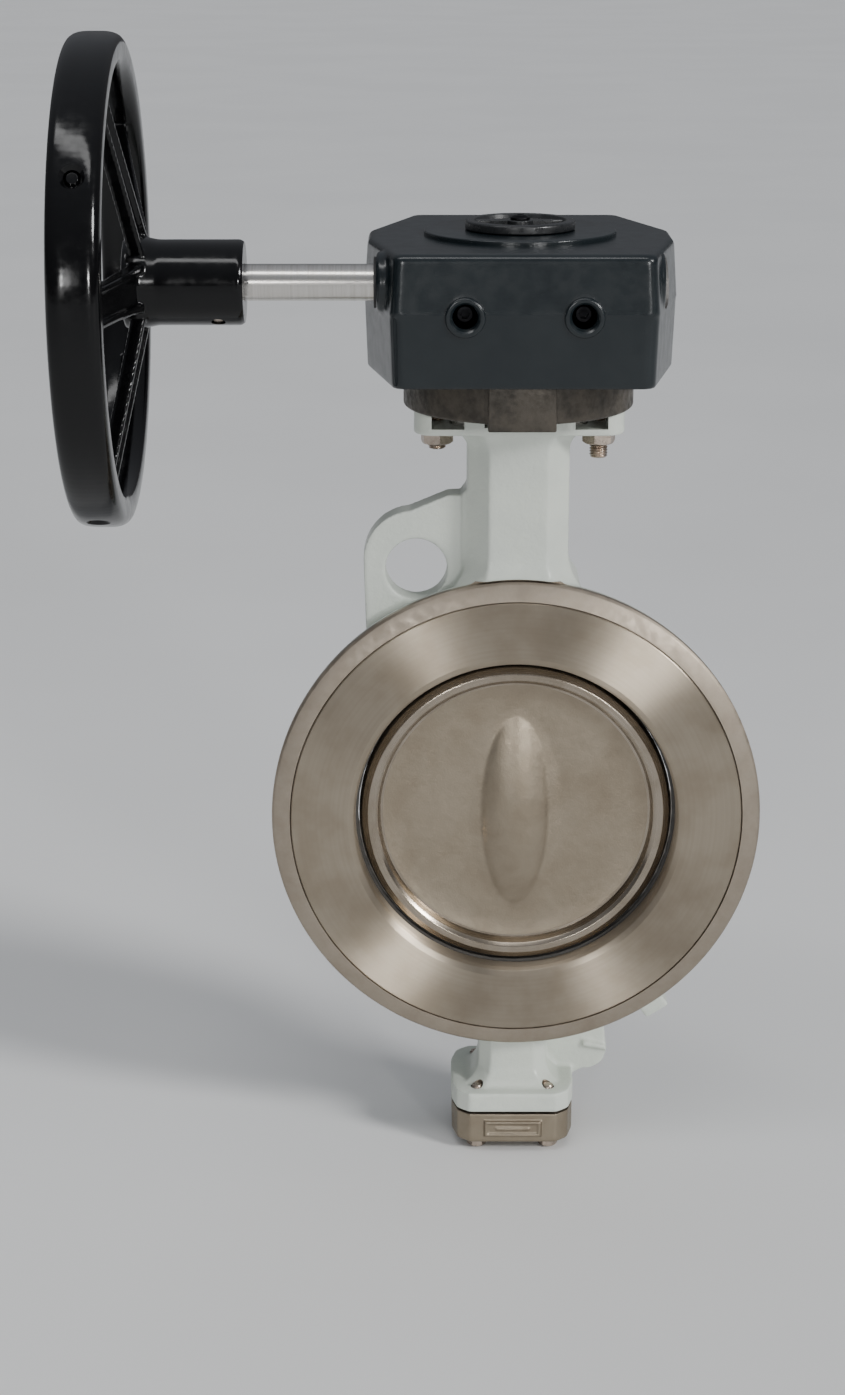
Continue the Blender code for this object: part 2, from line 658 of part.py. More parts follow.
def gear_base(finish):
    """The flange that the housing stands on, its lid plate and the front tab, cast in one."""
    profile = [
        (0, LID_Z[1]),
        (46 * MM, LID_Z[1]),
        (46 * MM, 199.2 * MM),
        (BASE_R, 199.2 * MM),
        (BASE_R, 182.3 * MM),
        (BASE_R - 1 * MM, 181.3 * MM),
        (0, 181.3 * MM),
    ]
    base = turned("gear_base", profile, Z_AXIS, finish["cast_iron"], steps=LARGE_SIDES)
    lid = plate("base_lid", housing_outline(HOUSING_WALL + 0.6 * MM), *LID_Z, Z_AXIS)
    tab = block("base_tab", (-14.2 * MM, -51.5 * MM, 178.8 * MM), (14.2 * MM, -30 * MM, 199 * MM))
    join(base, lid, tab)
    drill(base, 20.3 * MM, 178 * MM, 210 * MM, Z_AXIS, sides=MEDIUM_SIDES)
    cut(base, block("tab_relief", (-16 * MM, -31 * MM, 178 * MM), (16 * MM, -24.5 * MM, 181.3 * MM)))
    for x in (-STUD_X, STUD_X):
        drill(base, 4.3 * MM, 180 * MM, 197 * MM, Z_AXIS, (x, 0))
    for i, at in enumerate(corner_places(*BASE_SCREW)):
        drill(base, 3.3 * MM, 198 * MM, 210 * MM, Z_AXIS, at)
        drill(base, 5.4 * MM, 198 * MM, 202.8 * MM, Z_AXIS, at, SMALL_SIDES)
        name = f"base_screw_{i + 1}"
        screw = bar(name, 5 * MM, 200 * MM, 202.5 * MM, Z_AXIS, finish["fastener_steel"], at, SMALL_SIDES)
        join(screw, bar(f"{name}_shank", 3 * MM, 202 * MM, 218 * MM, Z_AXIS, across=at, sides=SCREW_SIDES))
        drill(screw, 2.4 * MM, 199 * MM, 201.5 * MM, Z_AXIS, at, HEX)
    ring("base_bush", SLEEVE_R + GAP, 20 * MM, 184 * MM, 204 * MM, Z_AXIS, finish["bronze"])


def gear_outline(teeth, root_r, outer_r, pitch_r, tooth_width):
    """A gear's outline with straight-sided teeth, one of them centred on the -Y direction."""
    points = []
    for i in range(teeth):
        centre = -math.pi / 2 + i * 2 * math.pi / teeth
        half_root = (tooth_width * 0.5 + 0.55 * MM) / pitch_r
        half_tip = (tooth_width * 0.5 - 0.5 * MM) / pitch_r
        for radius, angle in (
            (root_r, centre - half_root),
            (outer_r, centre - half_tip),
            (outer_r, centre + half_tip),
            (root_r, centre + half_root),
        ):
            points.append((radius * math.cos(angle), radius * math.sin(angle)))
    return points


def worm_wheel(finish):
    root_r = WHEEL_PITCH_R - 2.2 * MM
    tip_r = WHEEL_PITCH_R + 1.2 * MM
    outline = gear_outline(WHEEL_TEETH, root_r, tip_r, WHEEL_PITCH_R, 2.7 * MM)
    wheel = plate("worm_wheel", outline, *WHEEL_Z, Z_AXIS, finish["bronze"])
    lead = math.atan(MODULE / (2 * WORM_PITCH_R))
    middle = sum(WHEEL_Z) / 2
    for vertex in wheel.data.vertices:
        rise = vertex.co.z - middle
        vertex.co = Matrix.Rotation(rise * math.tan(lead) / WHEEL_PITCH_R, 3, "Z") @ vertex.co
    sleeve = bar("wheel_sleeve", SLEEVE_R, *SLEEVE_Z, Z_AXIS)
    quarter = [Vector((0, 0))] + [
        QUADRANT_R * Vector((math.cos(math.radians(a)), math.sin(math.radians(a)))) for a in range(0, 91, 10)
    ]
    corner = Vector((-3 * MM, -3 * MM))
    quadrant_outline = [tuple(point + corner) for point in quarter]
    quadrant = plate("stop_quadrant", quadrant_outline, QUADRANT_LOW_Z, WHEEL_Z[0] + 1 * MM, Z_AXIS)
    join(wheel, sleeve, quadrant)
    drill(wheel, STEM_R + GAP, 180 * MM, 238 * MM, Z_AXIS, sides=MEDIUM_SIDES)
    cut(wheel, block("sleeve_keyway", (8 * MM, -3.3 * MM, 180 * MM), (13 * MM, 3.3 * MM, 236 * MM)))
    drill(wheel, 2.3 * MM, 240 * MM, 258 * MM, Z_AXIS)
    return wheel


def thread(name, section, pitch, turns, first):
    """A right-handed thread ridge along X, closed at both ends. Its centre line starts at first, at -Z.

    The section's points are (radius, distance along X from the centre line).
    """
    shape = bmesh.new()
    rows = []
    for step in range(turns * SCREW_SIDES + 1):
        angle = 2 * math.pi * step / SCREW_SIDES
        along = first + pitch * step / SCREW_SIDES
        y, z = math.sin(angle), -math.cos(angle)
        places = [(along + dx, radius * y + SHAFT_Y, radius * z + SHAFT_Z) for radius, dx in section]
        rows.append([shape.verts.new(place) for place in places])
    for low, high in zip(rows, rows[1:]):
        for i in range(4):
            k = (i + 1) % 4
            shape.faces.new((low[i], low[k], high[k], high[i]))
    shape.faces.new(list(reversed(rows[0])))
    shape.faces.new(rows[-1])
    return from_bmesh(name, shape)


def worm_shaft(finish):
    neck_r = 6.5 * MM
    shaft = turned(
        "worm_shaft",
        [
            (0, 56 * MM),
            (SHAFT_R - 1 * MM, 56 * MM),
            (SHAFT_R, 55 * MM),
            (SHAFT_R, 29 * MM),
            (neck_r, 28.5 * MM),
            (neck_r, 18.5 * MM),
            (7.2 * MM, 18 * MM),
            (7.2 * MM, -18 * MM),
            (neck_r, -18.5 * MM),
            (neck_r, -28.5 * MM),
            (SHAFT_R, -29 * MM),
            (SHAFT_R, SHAFT_END_X + 1 * MM),
            (SHAFT_R - 1 * MM, SHAFT_END_X),
            (0, SHAFT_END_X),
        ],
        X_AXIS,
        finish["bright_steel"],
        across=(SHAFT_Y, SHAFT_Z),
    )
    root_r = 6.6 * MM
    crest_r = WORM_PITCH_R + 1.3 * MM
    section = [(root_r, -1.65 * MM), (crest_r, -0.6 * MM), (crest_r, 0.6 * MM), (root_r, 1.65 * MM)]
    join(shaft, thread("worm_thread", section, WORM_PITCH, turns=5, first=-2.75 * WORM_PITCH))
    cut(shaft, hub_pin_shape("shaft_pin_hole", 2.8 * MM, 12 * MM))
    return shaft


def hub_pin_shape(name, radius, half_length, finish=None):
    """A cross bar through the hub and the shaft, tilted towards the front at its lower end."""
    place = Matrix.Translation((PIN_X, SHAFT_Y, SHAFT_Z)) @ Matrix.Rotation(-PIN_TILT, 4, "X")
    return placed_bar(name, radius, -half_length, half_length, place, finish)


def shaft_supports(finish):
    line = (SHAFT_Y, SHAFT_Z)
    bore = SHAFT_R + GAP
    ring("worm_bush_left", bore, 10.5 * MM, -54.7 * MM, -30 * MM, X_AXIS, finish["bronze"], across=line)
    ring("worm_bush_right", bore, 10.5 * MM, 30 * MM, 56 * MM, X_AXIS, finish["bronze"], across=line)
    ring("shaft_seal", bore, 10.5 * MM, -61.2 * MM, -55 * MM, X_AXIS, finish["rubber"], across=line)
    bar("worm_end_plug", 10.5 * MM, 56.4 * MM, 59.6 * MM, X_AXIS, finish["bright_steel"], across=line)


def stop_screws(finish):
    for side, name in ((-1, "stop_screw_left"), (1, "stop_screw_right")):
        at = (side * STOP_X, STOP_Z)
        screw = bar(name, STOP_R, -58 * MM, -3.5 * MM, Y_AXIS, finish["black_oxide"], at, SCREW_SIDES)
        drill(screw, 2.2 * MM, -60 * MM, -54 * MM, Y_AXIS, at, HEX)


def position_indicator(finish):
    profile = [
        (0, 259.5 * MM),
        (19 * MM, 259.5 * MM),
        (19.5 * MM, 261.5 * MM),
        (22.5 * MM, 261.5 * MM),
        (23.3 * MM, 260.5 * MM),
        (23.3 * MM, 256.4 * MM),
        (0, 256.4 * MM),
    ]
    dial = turned("position_indicator", profile, Z_AXIS, finish["black_plastic"])
    pointer = block("indicator_pointer", (-18 * MM, -2.2 * MM, 258 * MM), (18 * MM, 2.2 * MM, 261.3 * MM))
    join(dial, pointer)
    drill(dial, 2.5 * MM, 255 * MM, 263 * MM, Z_AXIS)
    dark = finish["black_oxide"]
    screw = bar("indicator_screw", 4.2 * MM, 261.6 * MM, 263.4 * MM, Z_AXIS, dark, sides=SCREW_SIDES)
    join(screw, bar("indicator_shank", 2 * MM, 243 * MM, 262 * MM, Z_AXIS, sides=SCREW_SIDES))
    return dial, screw


def mounting_studs(finish):
    steel = finish["fastener_steel"]
    for side, name, low in ((-1, "left", 161.8 * MM), (1, "right", 157.9 * MM)):
        at = (side * STUD_X, 0)
        bar(f"mounting_stud_{name}", 4 * MM, low, 196 * MM, Z_AXIS, steel, at, SCREW_SIDES)
        ring(f"mounting_washer_{name}", 4.3 * MM, 7.6 * MM, 170.6 * MM, 171.6 * MM, Z_AXIS, steel, at)
        nut = bar(f"mounting_nut_{name}", 7.4 * MM, 164.1 * MM, 170.3 * MM, Z_AXIS, steel, at, HEX)
        drill(nut, 4.3 * MM, 162 * MM, 172 * MM, Z_AXIS, at)


# ---------------------------------------------------------------- handwheel

def spoke(index):
    """A channel bar from the hub out to the rim, dished so that the rim lies beyond the hub's end."""
    inner_r = 13 * MM
    outer_r = RIM_R - RIM_RADIAL + 3 * MM
    section = [(-8, -2), (8, -2), (8, 4), (5.6, 4), (5.6, 1.6), (-5.6, 1.6), (-5.6, 4), (-8, 4)]
    dish = math.atan2(RIM_X - HUB_X[0] - 6 * MM, outer_r - inner_r)
    outline = [(x * MM, y * MM) for x, y in section]
    length = (outer_r - inner_r) / math.cos(dish)
    spoke_bar = plate(f"spoke_{index}", outline, 0, length, Z_AXIS)
    # The section's second direction becomes +X, and the bar's length runs outwards along +Z.
    turn_in = Matrix(((0, 1, 0, 0), (1, 0, 0, 0), (0, 0, 1, 0), (0, 0, 0, 1)))
    lean = Matrix.Translation((HUB_X[0] + 6 * MM, 0, inner_r)) @ Matrix.Rotation(dish, 4, "Y") @ turn_in
    from_near_side = math.pi / 2 + index * 2 * math.pi / SPOKES
    spin = Matrix.Translation((0, SHAFT_Y, SHAFT_Z)) @ Matrix.Rotation(from_near_side, 4, "X")
    spoke_bar.data.transform(spin @ lean)
    spoke_bar.data.flip_normals()
    return spoke_bar


def handwheel(finish):
    line = (SHAFT_Y, SHAFT_Z)
    middle_r = RIM_R - RIM_RADIAL / 2
    rim = []
    for i in range(SCREW_SIDES):
        angle = 2 * math.pi * i / SCREW_SIDES
        out = RIM_RADIAL / 2 * rounded_power(math.cos(angle))
        along = RIM_AXIAL_HALF * rounded_power(math.sin(angle))
        rim.append((middle_r + out, RIM_X - along))
    wheel = turned("handwheel", rim, X_AXIS, finish["black_gloss"], across=line, steps=RIM_SIDES)
    hub = turned(
        "wheel_hub",
        [
            (0, HUB_X[1]),
            (HUB_R - 1.8 * MM, HUB_X[1]),
            (HUB_R, HUB_X[1] - 1.8 * MM),
            (HUB_R, HUB_X[0] + 1 * MM),
            (HUB_R - 1 * MM, HUB_X[0]),
            (0, HUB_X[0]),
        ],
        X_AXIS,
        across=line,
    )
    join(wheel, *[spoke(i) for i in range(SPOKES)], hub)
    drill(wheel, SHAFT_R + GAP, SHAFT_END_X - GAP, HUB_X[1] + 2 * MM, X_AXIS, line, MEDIUM_SIDES)
    cut(wheel, hub_pin_shape("hub_pin_hole", 2.8 * MM, 22 * MM))
    pin = hub_pin_shape("hub_pin", 2.5 * MM, 16.4 * MM, finish["fastener_steel"])
    plugs = []
    for name, angle in (("rim_plug_upper", math.radians(31.3)), ("rim_plug_lower", math.radians(-66))):
        place = Matrix.Translation((RIM_X, SHAFT_Y, SHAFT_Z)) @ Matrix.Rotation(math.pi / 2 - angle, 4, "X")
        cut(wheel, placed_bar(f"{name}_hole", 3.4 * MM, 95 * MM, 104 * MM, place))
        plugs.append(placed_bar(name, 3.1 * MM, 95.3 * MM, 98.6 * MM, place, finish["black_gloss"]))
    return wheel, pin, plugs


def rounded_power(value):
    """Squares off a circle's cosine or sine, so that the rim's section is a rounded rectangle."""
    return math.copysign(abs(value) ** 0.55, value)


# ---------------------------------------------------------------- assembly

def joint_empty(name, place, members):
    """An empty on a joint's axis that the moving pieces hang from."""
    pivot = bpy.data.objects.new(name, None)
    bpy.data.collections[PARTS].objects.link(pivot)
    pivot.location = place
    bpy.context.view_layer.update()
    for member in members:
        member.parent = pivot
        member.matrix_parent_inverse = pivot.matrix_world.inverted()


def main():
    clear_scene()
    finish = finishes()
    valve_body(finish)
    seat_parts(finish)
    disc_plate, pins = disc(finish)
    shaft, key = stem(finish)
    stem_supports(finish)
    bottom_cover(finish)
    gear_housing(finish)
    gear_base(finish)
    wheel = worm_wheel(finish)
    worm = worm_shaft(finish)
    shaft_supports(finish)
    stop_screws(finish)
    dial, dial_screw = position_indicator(finish)
    mounting_studs(finish)
    hand, pin, plugs = handwheel(finish)
    joint_empty("stem_axis", (0, 0, 0), [disc_plate, *pins, shaft, key, wheel, dial, dial_screw])
    joint_empty("handwheel_axis", (0, SHAFT_Y, SHAFT_Z), [worm, hand, pin, *plugs])


main()
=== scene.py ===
"""The looks of a wafer butterfly valve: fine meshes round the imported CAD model, with procedural materials.

Everything is in metres in the CAD model's frame: X to the right, Y along the pipe and away from the front,
Z up the stem. The origin is where the pipe axis meets the stem axis.
"""

import json
import math

import bmesh
import bpy
from mathutils import Matrix, Vector


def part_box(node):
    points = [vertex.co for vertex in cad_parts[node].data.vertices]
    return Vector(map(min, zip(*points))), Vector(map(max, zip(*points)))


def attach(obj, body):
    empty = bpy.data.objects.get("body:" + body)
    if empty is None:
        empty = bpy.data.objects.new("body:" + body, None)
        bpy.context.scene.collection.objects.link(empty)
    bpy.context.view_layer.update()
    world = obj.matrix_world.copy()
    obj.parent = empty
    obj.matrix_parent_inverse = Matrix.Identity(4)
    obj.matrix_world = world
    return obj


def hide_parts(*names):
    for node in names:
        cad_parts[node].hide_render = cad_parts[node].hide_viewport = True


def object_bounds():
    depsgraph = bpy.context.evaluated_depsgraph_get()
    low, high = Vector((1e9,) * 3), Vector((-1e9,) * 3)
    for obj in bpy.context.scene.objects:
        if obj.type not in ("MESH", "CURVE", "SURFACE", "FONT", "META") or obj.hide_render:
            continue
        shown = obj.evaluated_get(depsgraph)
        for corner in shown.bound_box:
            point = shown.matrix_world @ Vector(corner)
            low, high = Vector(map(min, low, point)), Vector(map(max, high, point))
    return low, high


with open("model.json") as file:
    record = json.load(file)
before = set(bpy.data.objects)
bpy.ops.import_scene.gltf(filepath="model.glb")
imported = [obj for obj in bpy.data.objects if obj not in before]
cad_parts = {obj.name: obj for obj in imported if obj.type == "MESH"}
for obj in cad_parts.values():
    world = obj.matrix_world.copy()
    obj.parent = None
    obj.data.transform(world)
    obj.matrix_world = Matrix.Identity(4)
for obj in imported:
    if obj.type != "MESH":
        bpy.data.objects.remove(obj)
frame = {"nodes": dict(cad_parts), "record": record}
CAD_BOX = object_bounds()

MM = 0.001
X_AXIS, Y_AXIS, Z_AXIS = "X", "Y", "Z"
TO_AXIS = {
    X_AXIS: Matrix.Rotation(math.pi / 2, 4, "Y"),
    Y_AXIS: Matrix.Rotation(-math.pi / 2, 4, "X"),
    Z_AXIS: Matrix.Identity(4),
}
FIXED = "root"
STEM_BODY = "disc_and_stem"
WHEEL_BODY = "handwheel_and_worm"

# Facets round a whole turn
FINE = 192
SMALL = 64

# Which material a face takes on a casting
AS_CAST = 0
MACHINED = 1
MARKERS = [bpy.data.materials.new("as_cast"), bpy.data.materials.new("machined")]


def mm(*points):
    """Points given in millimetres, in metres."""
    return [tuple(value * MM for value in point) for point in points]


def span(node, axis):
    """A CAD node's lowest and highest place along an axis."""
    low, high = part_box(node)
    i = "XYZ".index(axis)
    return low[i], high[i]


def corners_of(x, y):
    """The four corners of a rectangle round the stem line."""
    return [(-x, -y), (-x, y), (x, -y), (x, y)]


def middle(node, axis):
    return sum(span(node, axis)) / 2


def half(node, axis):
    low, high = span(node, axis)
    return (high - low) / 2


FACE_Y, REAR_Y = -28 * MM, span("valve_body", Y_AXIS)[1]
SHAFT_LINE = (middle("handwheel", Y_AXIS), middle("handwheel", Z_AXIS))


# ---------------------------------------------------------------- shapes

def new_object(name, mesh):
    obj = bpy.data.objects.new(name, mesh)
    bpy.context.scene.collection.objects.link(obj)
    return obj


def from_bmesh(name, shape):
    bmesh.ops.recalc_face_normals(shape, faces=shape.faces)
    mesh = bpy.data.meshes.new(name)
    shape.to_mesh(mesh)
    shape.free()
    return new_object(name, mesh)


def baked(obj):
    """The object with its modifiers and its place made into its mesh."""
    bpy.context.view_layer.update()
    graph = bpy.context.evaluated_depsgraph_get()
    mesh = bpy.data.meshes.new_from_object(obj.evaluated_get(graph))
    mesh.transform(obj.matrix_world)
    obj.modifiers.clear()
    spent = obj.data
    obj.data = mesh
    obj.matrix_world = Matrix.Identity(4)
    bpy.data.meshes.remove(spent)
    return obj


def discard(obj):
    mesh = obj.data
    bpy.data.objects.remove(obj)
    bpy.data.meshes.remove(mesh)


def eased(points, segments=6):
    """An outline whose (a, b, fillet) corners become arcs and whose (a, b) corners stay sharp."""
    outline = []
    count = len(points)
    for i, point in enumerate(points):
        here = Vector(point[:2])
        radius = point[2] if len(point) == 3 else 0
        if radius == 0:
            outline.append(tuple(here))
            continue
        back = (Vector(points[i - 1][:2]) - here).normalized()
        ahead = (Vector(points[(i + 1) % count][:2]) - here).normalized()
        half_angle = back.angle(ahead) / 2
        centre = here + (back + ahead).normalized() * radius / math.sin(half_angle)
        first = here + back * radius / math.tan(half_angle) - centre
        last = here + ahead * radius / math.tan(half_angle) - centre
        sweep = first.angle_signed(last)
        for k in range(segments + 1):
            outline.append(tuple(centre + Matrix.Rotation(-sweep * k / segments, 2) @ first))
    return outline


def with_fillets(points, radius):
    return eased([(*point, radius) for point in points])


def box_outline(half_x, half_y):
    return [(-half_x, -half_y), (half_x, -half_y), (half_x, half_y), (-half_x, half_y)]


def turned(name, profile, axis, across=(0, 0), steps=FINE):
    """A profile of (radius, place along the axis) points, some with a fillet, swept round an axis.

    The points run down the outer side, from the far end of the axis to the near one. A profile that starts
    and ends on the axis makes a solid, and any other is closed into a ring.
    """
    points = eased(profile)
    edges = [(i, i + 1) for i in range(len(points) - 1)]
    if points[0][0] != 0 or points[-1][0] != 0:
        edges.append((len(points) - 1, 0))
    mesh = bpy.data.meshes.new(name)
    mesh.from_pydata([(radius, 0, along) for radius, along in points], edges, [])
    obj = new_object(name, mesh)
    place = {
        X_AXIS: Vector((0, across[0], across[1])),
        Y_AXIS: Vector((across[0], 0, across[1])),
        Z_AXIS: Vector((across[0], across[1], 0)),
    }[axis]
    obj.matrix_world = Matrix.Translation(place) @ TO_AXIS[axis]
    screw = obj.modifiers.new("turn", "SCREW")
    screw.steps = steps
    screw.render_steps = steps
    screw.use_merge_vertices = True
    screw.merge_threshold = 0.000001
    return baked(obj)


def rod(name, radius, low, high, axis, across=(0, 0), edge=0.0, steps=SMALL):
    profile = [(0, high), (radius, high, edge), (radius, low, edge), (0, low)]
    return turned(name, profile, axis, across, steps)


def tube(name, inner, outer, low, high, axis, across=(0, 0), edge=0.0, steps=SMALL):
    profile = [(inner, high, edge), (outer, high, edge), (outer, low, edge), (inner, low, edge)]
    return turned(name, profile, axis, across, steps)


def loft(name, rows):
    """A skin through rows of as many points each, with both ends filled."""
    shape = bmesh.new()
    made = [[shape.verts.new(point) for point in row] for row in rows]
    for low, high in zip(made, made[1:]):
        for i in range(len(low)):
            k = (i + 1) % len(low)
            shape.faces.new((low[i], low[k], high[k], high[i]))
    shape.faces.new(list(reversed(made[0])))
    shape.faces.new(made[-1])
    return from_bmesh(name, shape)


def plate(name, outline, low, high, axis, edge=0.0):
    """A flat outline made thick along an axis, with rounded rims.

    The outline's points are (x, y) for Z, (x, z) for Y and (y, z) for X.
    """
    place = {
        Z_AXIS: lambda a, b: (a, b, low),
        Y_AXIS: lambda a, b: (a, low, b),
        X_AXIS: lambda a, b: (low, a, b),
    }[axis]
    along = Vector([high - low if axis == letter else 0 for letter in "XYZ"])
    shape = bmesh.new()
    face = shape.faces.new([shape.verts.new(place(a, b)) for a, b in outline])
    raised = bmesh.ops.extrude_face_region(shape, geom=[face])["geom"]
    corners = [item for item in raised if isinstance(item, bmesh.types.BMVert)]
    bmesh.ops.translate(shape, vec=along, verts=corners)
    if edge:
        caps = [f for f in shape.faces if len(f.verts) == len(outline)]
        rims = [e for f in caps for e in f.edges]
        bmesh.ops.bevel(shape, geom=rims, offset=edge, segments=3, profile=0.5, affect="EDGES")
    return from_bmesh(name, shape)


def block(name, low, high, edge=0.0, turn=None):
    shape = bmesh.new()
    bmesh.ops.create_cube(shape, size=1)
    size = [b - a for a, b in zip(low, high)]
    centre = [(a + b) / 2 for a, b in zip(low, high)]
    shape.transform(Matrix.Translation(centre) @ Matrix.Diagonal((*size, 1)))
    if edge:
        bmesh.ops.bevel(shape, geom=shape.edges[:], offset=edge, segments=3, profile=0.5, affect="EDGES")
    if turn is not None:
        shape.transform(turn)
    return from_bmesh(name, shape)


def gathered(name, *objs):
    """The objects as one mesh, left overlapping."""
    shape = bmesh.new()
    for obj in objs:
        shape.from_mesh(obj.data)
        discard(obj)
    mesh = bpy.data.meshes.new(name)
    shape.to_mesh(mesh)
    shape.free()
    return new_object(name, mesh)


def combined(target, others, operation):
    for other in others:
        modifier = target.modifiers.new(operation, "BOOLEAN")
        modifier.operation = operation
        modifier.solver = "EXACT"
        modifier.object = other
    baked(target)
    for other in others:
        discard(other)
    return target


def joined(target, *others):
    return combined(target, others, "UNION")


def marked(obj, index):
    """Gives every face of a cutter the material that the cut surface takes."""
    with_markers(obj)
    for face in obj.data.polygons:
        face.material_index = index
    return obj


def with_markers(obj):
    """Gives a mesh one placeholder material for each kind of surface, which finished() replaces."""
    for marker in MARKERS[len(obj.data.materials):]:
        obj.data.materials.append(marker)


def cut(target, *cutters, index=AS_CAST):
    with_markers(target)
    return combined(target, [marked(cutter, index) for cutter in cutters], "DIFFERENCE")


def cast(obj, grain, rounds):
    """Melts overlapping shapes into one skin with rounded edges and fillets, as a casting has."""
    remesh = obj.modifiers.new("skin", "REMESH")
    remesh.mode = "VOXEL"
    remesh.voxel_size = grain
    smooth = obj.modifiers.new("fillets", "SMOOTH")
    smooth.factor = 0.5
    smooth.iterations = rounds
    return baked(obj)


def finished(obj, body, slot, *nodes, look=None, machined=None, sharp=35):
    """Hands a piece over: its materials, shading, the body it rides on and the CAD nodes it stands for.

    It takes its slot's finish, unless a look is named, and its machined faces may take another.
    """
    with_markers(obj)
    look = look or slot
    obj.data.materials[AS_CAST] = FINISHES[look]
    obj.data.materials[MACHINED] = FINISHES[machined or look]
    obj.data.shade_smooth()
    obj.data.set_sharp_from_angle(angle=math.radians(sharp))
    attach(obj, body)
    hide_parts(*nodes)
    return obj


# ---------------------------------------------------------------- fasteners

def hexagon(name, across_flats, low, high, at, chamfer):
    """A hexagon with its corners turned down to a cone at both ends."""
    corner_r = across_flats / math.sqrt(3)
    angles = [math.pi * i / 3 for i in range(6)]
    outline = [(corner_r * math.cos(a) + at[0], corner_r * math.sin(a) + at[1]) for a in angles]
    blank = plate(name, outline, low, high, Z_AXIS)
    flat_r = across_flats / 2 * 0.97
    cone = [
        (0, high), (flat_r, high), (corner_r * 1.02, high - chamfer), (corner_r * 1.02, low + chamfer),
        (flat_r, low), (0, low),
    ]
    return combined(blank, [turned(f"{name}_cone", cone, Z_AXIS, at, SMALL)], "INTERSECT")


def threaded(name, radius, pitch, low, high, at, end=0.8 * MM):
    """A bolt's thread: a bar whose radius follows a helix, run out to a cone at both ends."""
    around = 36
    per_pitch = 8
    levels = max(int((high - low) / pitch * per_pitch), 2)
    depth = 0.55 * pitch
    rows = []
    for level in range(levels + 1):
        z = low + (high - low) * level / levels
        room = min(z - low, high - z) / end
        row = []
        for i in range(around):
            turn = i / around
            phase = ((z - low) / pitch - turn) % 1
            ridge = abs(2 * phase - 1)
            r = min(radius - depth * ridge, radius - (1 - min(room, 1)) * depth)
            angle = 2 * math.pi * turn
            row.append((at[0] + r * math.cos(angle), at[1] + r * math.sin(angle), z))
        rows.append(row)
    return loft(name, rows)


def centre_of(node):
    return middle(node, X_AXIS), middle(node, Y_AXIS)


def mounting_hardware():
    """The stud, washer and nut under each ear of the top flange."""
    for side, turn in (("left", 0.7), ("right", 0.22)):
        at = centre_of(f"mounting_stud_{side}")
        low, high = span(f"mounting_stud_{side}", Z_AXIS)
        stud = threaded(f"stud_{side}", half(f"mounting_stud_{side}", X_AXIS), 1.25 * MM, low, high, at)
        finished(stud, FIXED, "fastener_steel", f"mounting_stud_{side}")
        low, high = span(f"mounting_washer_{side}", Z_AXIS)
        outer = half(f"mounting_washer_{side}", X_AXIS)
        washer = tube(f"washer_{side}", 4.3 * MM, outer, low, high, Z_AXIS, at, edge=0.3 * MM)
        finished(washer, FIXED, "fastener_steel", f"mounting_washer_{side}")
        low, high = span(f"mounting_nut_{side}", Z_AXIS)
        nut = hexagon(f"nut_{side}", 12.8 * MM, low, high, at, 1.1 * MM)
        bore = turned(f"nut_bore_{side}", [
            (0, high + 1 * MM), (5.6 * MM, high + 1 * MM), (4.3 * MM, high - 0.5 * MM),
            (4.3 * MM, low + 0.5 * MM), (5.6 * MM, low - 1 * MM), (0, low - 1 * MM),
        ], Z_AXIS, at, SMALL)
        cut(nut, bore)
        stud_line = Matrix.Translation((*at, 0))
        nut.data.transform(stud_line @ Matrix.Rotation(turn, 4, "Z") @ stud_line.inverted())
        finished(nut, FIXED, "fastener_steel", f"mounting_nut_{side}")


def gland_bolts():
    for side in ("left", "right"):
        node = f"gland_bolt_{side}"
        at = centre_of(node)
        high = span(node, Z_AXIS)[1]
        low = GLAND_HOLE_Z + 0.1 * MM
        head_low = high - 3.4 * MM
        head = hexagon(f"gland_head_{side}", 7.8 * MM, head_low, high, at, 0.6 * MM)
        shank = rod(f"gland_shank_{side}", 2.4 * MM, low, head_low + 1 * MM, Z_AXIS, at, edge=0.4 * MM)
        finished(joined(head, shank), FIXED, "fastener_steel", node)


def cover_screws():
    for i in range(1, 5):
        node = f"cover_screw_{i}"
        at = centre_of(node)
        low, high = span(node, Z_AXIS)
        head_high = low + 3.7 * MM
        head = hexagon(f"cover_head_{i}", 7.9 * MM, low, head_high, at, 0.6 * MM)
        shank = threaded(f"cover_shank_{i}", 2.5 * MM, 0.8 * MM, head_high - 1 * MM, high, at)
        finished(joined(head, shank), FIXED, "fastener_steel", node)


HUB_PIN_TILT = math.radians(30)
RIM_PLUGS = (("rim_plug_upper", math.radians(31.3)), ("rim_plug_lower", math.radians(-66)))


def hub_pin_place():
    """Turns +Z along the hub pin, which crosses the shaft line at a tilt."""
    shift = Matrix.Translation((middle("hub_pin", X_AXIS), *SHAFT_LINE))
    return shift @ Matrix.Rotation(-HUB_PIN_TILT, 4, "X")


def rim_place(angle):
    """Turns +Z outwards through the rim, at an angle above the near side."""
    shift = Matrix.Translation((middle("rim_plug_upper", X_AXIS), *SHAFT_LINE))
    return shift @ Matrix.Rotation(math.pi / 2 - angle, 4, "X")


